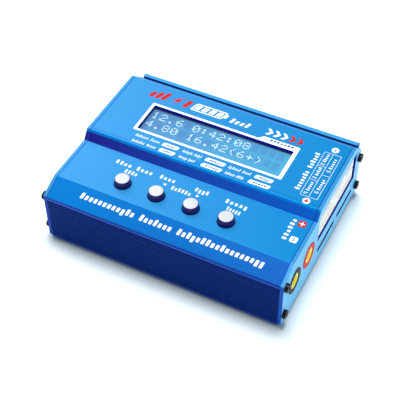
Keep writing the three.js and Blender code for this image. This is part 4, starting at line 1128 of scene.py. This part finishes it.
def printed(name, shapes, finish_name="print_white", plane=DISPLAY_PLANE, level=0):
    """Thin printed marks. A shape is an outline, or a pair of outlines with a ring between.
    Marks at level 1 lie on other marks."""
    bm = bmesh.new()
    top = PRINT * (1 + level)
    for shape in shapes:
        if isinstance(shape, tuple):
            ring_prism(*shape, -PRINT_SINK, top, bm)
        else:
            prism(shape, -PRINT_SINK, top, bm)
    piece(name, bm, finish_name, at=plane)


def slanted(outline, slant, base=0.0):
    return [(a + slant * (b - base), b) for a, b in outline]


def quarter_turned(outline, a, b):
    """An outline drawn from (0, 0) along +X, turned to run along +Y from (a, b)."""
    return [(a - q, b + p) for p, q in outline]


def greeked(words, start, end, height, base, slant=0.0, seed=1, weight=0.7):
    """Round-cornered blocks in place of letters, in words of the given lengths."""
    draw = random.Random(seed)
    advance = (end - start) / (sum(words) + len(words) - 1)
    blocks = []
    a = start
    for word in words:
        for letter in range(word):
            tall = letter == 0 or draw.random() < 0.3
            low = base - (0.28 * height if draw.random() < 0.1 and not tall else 0)
            top = base + (height if tall else 0.72 * height)
            width = advance * weight
            block = rectangle(a + advance / 2, (low + top) / 2, width, top - low, 0.24 * width, 3)
            blocks.append(slanted(block, slant, base))
            a += advance
        a += advance
    return blocks


def plus(a, b, size, bar):
    h, w = size / 2, bar / 2
    return [(a - h, b - w), (a - w, b - w), (a - w, b - h), (a + w, b - h), (a + w, b - w),
            (a + h, b - w), (a + h, b + w), (a + w, b + w), (a + w, b + h), (a - w, b + h),
            (a - w, b + w), (a - h, b + w)]


def triangle(a, b, size, direction):
    return [(a - direction * size / 2, b - size / 2), (a + direction * size / 2, b),
            (a - direction * size / 2, b + size / 2)]


SEGMENT_SETS = {"2": "abged", "3": "abgcd", "4": "fgbc", "5": "afgcd", "6": "afgedc"}


def digit(character, a, b, height):
    """A seven-segment digit with its lower left corner at (a, b)."""
    width, bar = height * 0.54, height * 0.14
    middle, top = height / 2, height
    bars = {
        "a": (0, top - bar, width, top),
        "d": (0, 0, width, bar),
        "g": (0, middle - bar / 2, width, middle + bar / 2),
        "f": (0, middle, bar, top),
        "e": (0, 0, bar, middle),
        "b": (width - bar, middle, width, top),
        "c": (width - bar, 0, width, middle),
    }
    chosen = [bars[name] for name in SEGMENT_SETS[character]]
    return [between((a + x0, b + y0), (a + x1, b + y1)) for x0, y0, x1, y1 in chosen]


def window_bezel():
    """White frame around the window with a tab at its rear right."""
    outer = filleted([(a, b, 0.5) for a, b in (
        (-34.2, 42.2), (31.05, 42.2), (31.05, 61.6), (15.3, 61.6), (13.5, 59.8), (-34.2, 59.8))])
    opening = between((WINDOW_LOW[0] - 0.02, WINDOW_LOW[1] - 0.02),
                      (WINDOW_HIGH[0] + 0.02, WINDOW_HIGH[1] + 0.02), WINDOW_CORNER)
    bm = slab(outer, [opening], -PRINT_SINK, PRINT)
    piece("window_bezel_print", bm, "print_white", at=DISPLAY_PLANE)
    tab = greeked([7], 18, 28.6, 1.1, 60.05, 0.25, seed=4)
    printed("bezel_tab_print", tab, "print_blue", level=1)


def heading_marks():
    """Generic marks behind the window: a bolt and bars, a battery with its cells, and chevrons."""
    base = 62.9
    slant = 0.35

    def leaning(a, width, height, radius, rise=2.3):
        return slanted(rectangle(a, base + rise, width, height, radius), slant, base)

    bars = [leaning(-37.6 + 2.7 * i, 1.9, h, 0.3, h / 2) for i, h in enumerate((3.4, 4.2, 5.0))]
    bolt = [(-28.4, 62.2), (-23.6, 66.0), (-25.2, 66.0), (-22.6, 68.8), (-28.0, 64.9),
            (-26.0, 64.9)]
    wedge = leaning(-21.9, 2.0, 4.6, 0.3)
    printed("battery_mark_red_print", [*bars, bolt, wedge], "print_red")
    body, hollow = leaning(-11.9, 14.4, 4.6, 0.9), leaning(-11.9, 13.3, 3.5, 0.45)
    nub = leaning(-4.1, 1, 2.2, 0.2)
    cells = [leaning(-16.9 + 3.3 * i, 2.3, 2.6, 0.3) for i in range(4)]
    words = greeked([4], -1.6, 7.4, 2.8, base, slant, seed=3, weight=0.55)
    printed("battery_mark_white_print", [(body, hollow), nub, *cells, *words])
    chevrons = [chevron(16.2 + 3.3 * i, 64.9, 3.6) for i in range(5)]
    printed("chevrons_white_print", chevrons[:3])
    printed("chevrons_red_print", chevrons[3:], "print_red")


def chevron(a, b, height):
    h, w = height / 2, 1.35
    return [(a - w, b - h), (a + 0.1, b - h), (a + w + 0.3, b), (a + 0.1, b + h), (a - w, b + h),
            (a + 0.3, b)]


# Rows of ratings, from the rear: y, then start and end of the blocks, badge centre and its width
RATINGS = [
    (39.65, [(-31.6, -20.6, -15.6, 7.0), (-10.4, -2.0, 4.2, 8.4), (9.8, 19.4, 25.0, 7.4)]),
    (36.25, [(-31.6, -20.6, -15.5, 6.7), (-10.4, -3.4, 4.1, 8.6), (9.8, 17.8, 24.5, 8.8)]),
]


def rating_marks():
    """Two rows of small blocks, each with a white badge, in front of the window."""
    blocks, badges, fills = [], [], []
    for row, (b, entries) in enumerate(RATINGS):
        for column, (start, end, badge, width) in enumerate(entries):
            seed = 10 * row + column
            blocks += greeked([7, 5], start, end, 1.5, b - 0.7, 0.3, seed, weight=0.42)
            badges.append(slanted(rectangle(badge, b, width, 2.0, 0.6), 0.3, b))
            half = width / 2 - 1.5
            fills += greeked([5], badge - half, badge + half, 1.0, b - 0.5, 0.3, seed + 5)
    printed("rating_text_print", blocks)
    printed("rating_badges_print", badges)
    printed("rating_values_print", fills, "print_blue", level=1)


def socket_table():
    """Table of the balance sockets with their cell counts, turned to read from the right."""
    heading = greeked([7, 6], 0, 22.4, 2, 0, seed=21, weight=0.55)
    text = [quarter_turned(block, 39.3, 40.1) for block in heading]
    low, high, middle = (40.4, 38.5), (47.5, 64.2), 44.0
    line = 0.15
    lines = [
        between(low, (high[0], low[1] + line)),
        between((low[0], high[1] - line), high),
        between(low, (low[0] + line, high[1])),
        between((high[0] - line, low[1]), high),
        between((middle - line / 2, low[1]), (middle + line / 2, high[1])),
    ]
    rows = [(43.0, [("4", 39.6, 5.4), ("3", 48.6, 5.0), ("2", 56.8, 5.0)]),
            (46.6, [("6", 41.6, 6.4), ("5", 54.0, 6.4)])]
    for edge, entries in rows:
        for character, start, length in entries:
            label = greeked([5], 1.7, 1.7 + length, 1.4, 0.1, seed=30 + int(character),
                            weight=0.45)
            text += [quarter_turned(block, edge, start)
                     for block in [*digit(character, 0, 0, 1.7), *label]]
    for a0, a1, b in ((low[0], middle, 47.6), (low[0], middle, 55.9), (middle, high[0], 51.6)):
        lines.append(between((a0, b), (a1, b + line)))
    printed("socket_table_text_print", text)
    printed("socket_table_lines_print", lines)
    plus_spot, minus_spot = (44.0, 36.3), (43.9, 66.6)
    printed("polarity_discs_print", [circle(*spot, 1.5, 32) for spot in (plus_spot, minus_spot)])
    printed("polarity_plus_print", [plus(*plus_spot, 1.9, 0.6)], "print_red", level=1)
    printed("polarity_minus_print", [rectangle(*minus_spot, 0.5, 1.7)], "print_blue", level=1)


def button_marks():
    """Blocks above each button, with an arrow for the two that count down and up."""
    rows = [
        ([4, 4], -33.3, -16.4, 26.4, 2.0, 41),
        ([4], -27.5, -21.5, 23.2, 1.9, 42),
        ([4], -13.6, -6.4, 26.6, 2.0, 43),
        ([6], -6.8, 2.0, 23.2, 1.9, 44),
        ([4], 1.9, 8.1, 26.5, 2.0, 45),
        ([5], 15.0, 24.7, 26.3, 2.0, 46),
        ([5], 17.1, 23.3, 23.0, 1.9, 47),
    ]
    shapes = [triangle(-9.8, 23.5, 1.3, -1), triangle(4.6, 23.5, 1.3, 1)]
    for words, start, end, middle, height, seed in rows:
        shapes += greeked(words, start, end, height, middle - height / 2, seed=seed, weight=0.52)
    heading = greeked([6], 0, 11.7, 1.8, 0, seed=48, weight=0.52)
    shapes += [quarter_turned(block, 43.6, 17.9) for block in heading]
    plus_spot, minus_spot = (46.1, 28.1), (46.2, 19.6)
    red, white = rectangle(*plus_spot, 3.2, 3.2, 0.8), rectangle(*minus_spot, 2.9, 2.9, 0.5)
    for name, shape, finish_name, level in (
            ("button_text", shapes, "print_white", 0),
            ("output_plus_badge", [red], "print_red", 0),
            ("output_plus", [plus(*plus_spot, 2.0, 0.5)], "print_white", 1),
            ("output_minus_badge", [white], "print_white", 0),
            ("output_minus", [rectangle(*minus_spot, 0.4, 2.0)], "print_blue", 1)):
        printed(f"{name}_print", shape, finish_name, BUTTON_PLANE, level)


def title_marks():
    """A line of blocks along the sloping front face."""
    up_slope = 1 / math.cos(TITLE_SLOPE)
    blocks = greeked([12, 7, 18], -37.2, 41.0, 2.6, 4.1 * up_slope, 0.18, seed=51, weight=0.62)
    printed("title_print", blocks, plane=TITLE_PLANE)


# ---- Inside ----

INSIDE = {
    "board_green": ["main_board", "key_board", "lcd_board", "balance_board"],
    "plastic_black": ["controller_chip", "buzzer", "board_header",
                      *[f"key_switch_{i}" for i in range(1, 5)]],
    "ferrite": ["inductor_1", "inductor_2"],
    "can_sleeve": ["capacitor_1", "capacitor_2", "capacitor_3"],
    "aluminium_bare": ["heat_sink"],
}


def inside():
    """CAD nodes inside the case, shown with their own finish and slightly eased edges."""
    for finish_name, nodes in INSIDE.items():
        for node in nodes:
            node_object = keep(node, finish_name)
            node_object.modifiers.new("weld", "WELD").merge_threshold = 1e-6
            bevel = node_object.modifiers.new("edges", "BEVEL")
            bevel.width = 0.15 * MM
            bevel.segments = 2
            bevel.limit_method = "ANGLE"
            bevel.angle_limit = math.radians(40)


# ---- Stage ----

TARGET = Vector((-0.11, -5.59, 13.0)) * MM
CAMERA_AZIMUTH = 27.157
CAMERA_ELEVATION = 46.852
CAMERA_ROLL = -0.512
CAMERA_DISTANCE = 0.39706
CAMERA_LENS = 88.6
FLOOR_REACH = 3


def aim(made, azimuth, elevation, distance, target=Vector(), roll=0):
    """Puts an object at a distance from the target, facing it. Azimuth 0 is in front of the
    charger and 90 degrees is on its right."""
    azimuth, elevation = math.radians(azimuth), math.radians(elevation)
    flat = math.cos(elevation)
    back = Vector((math.sin(azimuth) * flat, -math.cos(azimuth) * flat, math.sin(elevation)))
    turn = (-back).to_track_quat("-Z", "Y").to_matrix().to_4x4()
    made.matrix_world = (Matrix.Translation(target + back * distance) @ turn
                         @ Matrix.Rotation(math.radians(roll), 4, "Z"))


def camera():
    made = link(bpy.data.objects.new("camera", bpy.data.cameras.new("camera")))
    made.data.lens = CAMERA_LENS
    made.data.sensor_width = 36
    made.data.clip_start = 0.01
    aim(made, CAMERA_AZIMUTH, CAMERA_ELEVATION, CAMERA_DISTANCE, TARGET, CAMERA_ROLL)
    bpy.context.scene.camera = made


def softbox(name, azimuth, elevation, distance, size, power, colour=(1, 1, 1)):
    """A square area light that faces the object."""
    data = bpy.data.lights.new(name, "AREA")
    data.size = size
    data.energy = power
    data.color = colour
    aim(link(bpy.data.objects.new(name, data)), azimuth, elevation, distance)


def stage():
    """White floor and soft studio light: a faint world, a strong box overhead, a smaller one
    behind on the left, and a weak one on the right for the end plate."""
    mesh = bpy.data.meshes.new("floor")
    corners = [(a, b, 0) for a, b in rectangle(0, 0, 2 * FLOOR_REACH, 2 * FLOOR_REACH)]
    mesh.from_pydata(corners, [], [(0, 1, 2, 3)])
    mesh.materials.append(finish("floor_white", (236, 245, 248), 0.8, 0, 40,
                                 variation=0.004, bump=0, Emission_Color=(0.9, 0.96, 1, 1),
                                 Emission_Strength=0.03))
    floor = link(bpy.data.objects.new("floor", mesh))
    world = bpy.data.worlds.new("studio")
    bpy.context.scene.world = world
    world.use_nodes = True
    background = world.node_tree.nodes["Background"]
    background.inputs["Color"].default_value = (0.76, 0.95, 1, 1)
    background.inputs["Strength"].default_value = 0.25
    softbox("rear_left_box", 240, 44, 0.6, 0.45, 1.5)
    softbox("overhead_box", 190, 84, 1.2, 0.4, 14.4)
    softbox("right_box", 100, 12, 0.8, 0.4, 0.8, (0.85, 0.9, 1))
    bpy.context.scene.view_settings.view_transform = "Standard"


# ---- Assembly ----

for build in (camera, stage, upper_shell, lower_shell, right_plate, left_plate, end_screws, feet,
              buttons, display, headers, output_sockets, inlet, data_port, fan, window_bezel,
              heading_marks, rating_marks, socket_table, button_marks, title_marks, inside):
    build()
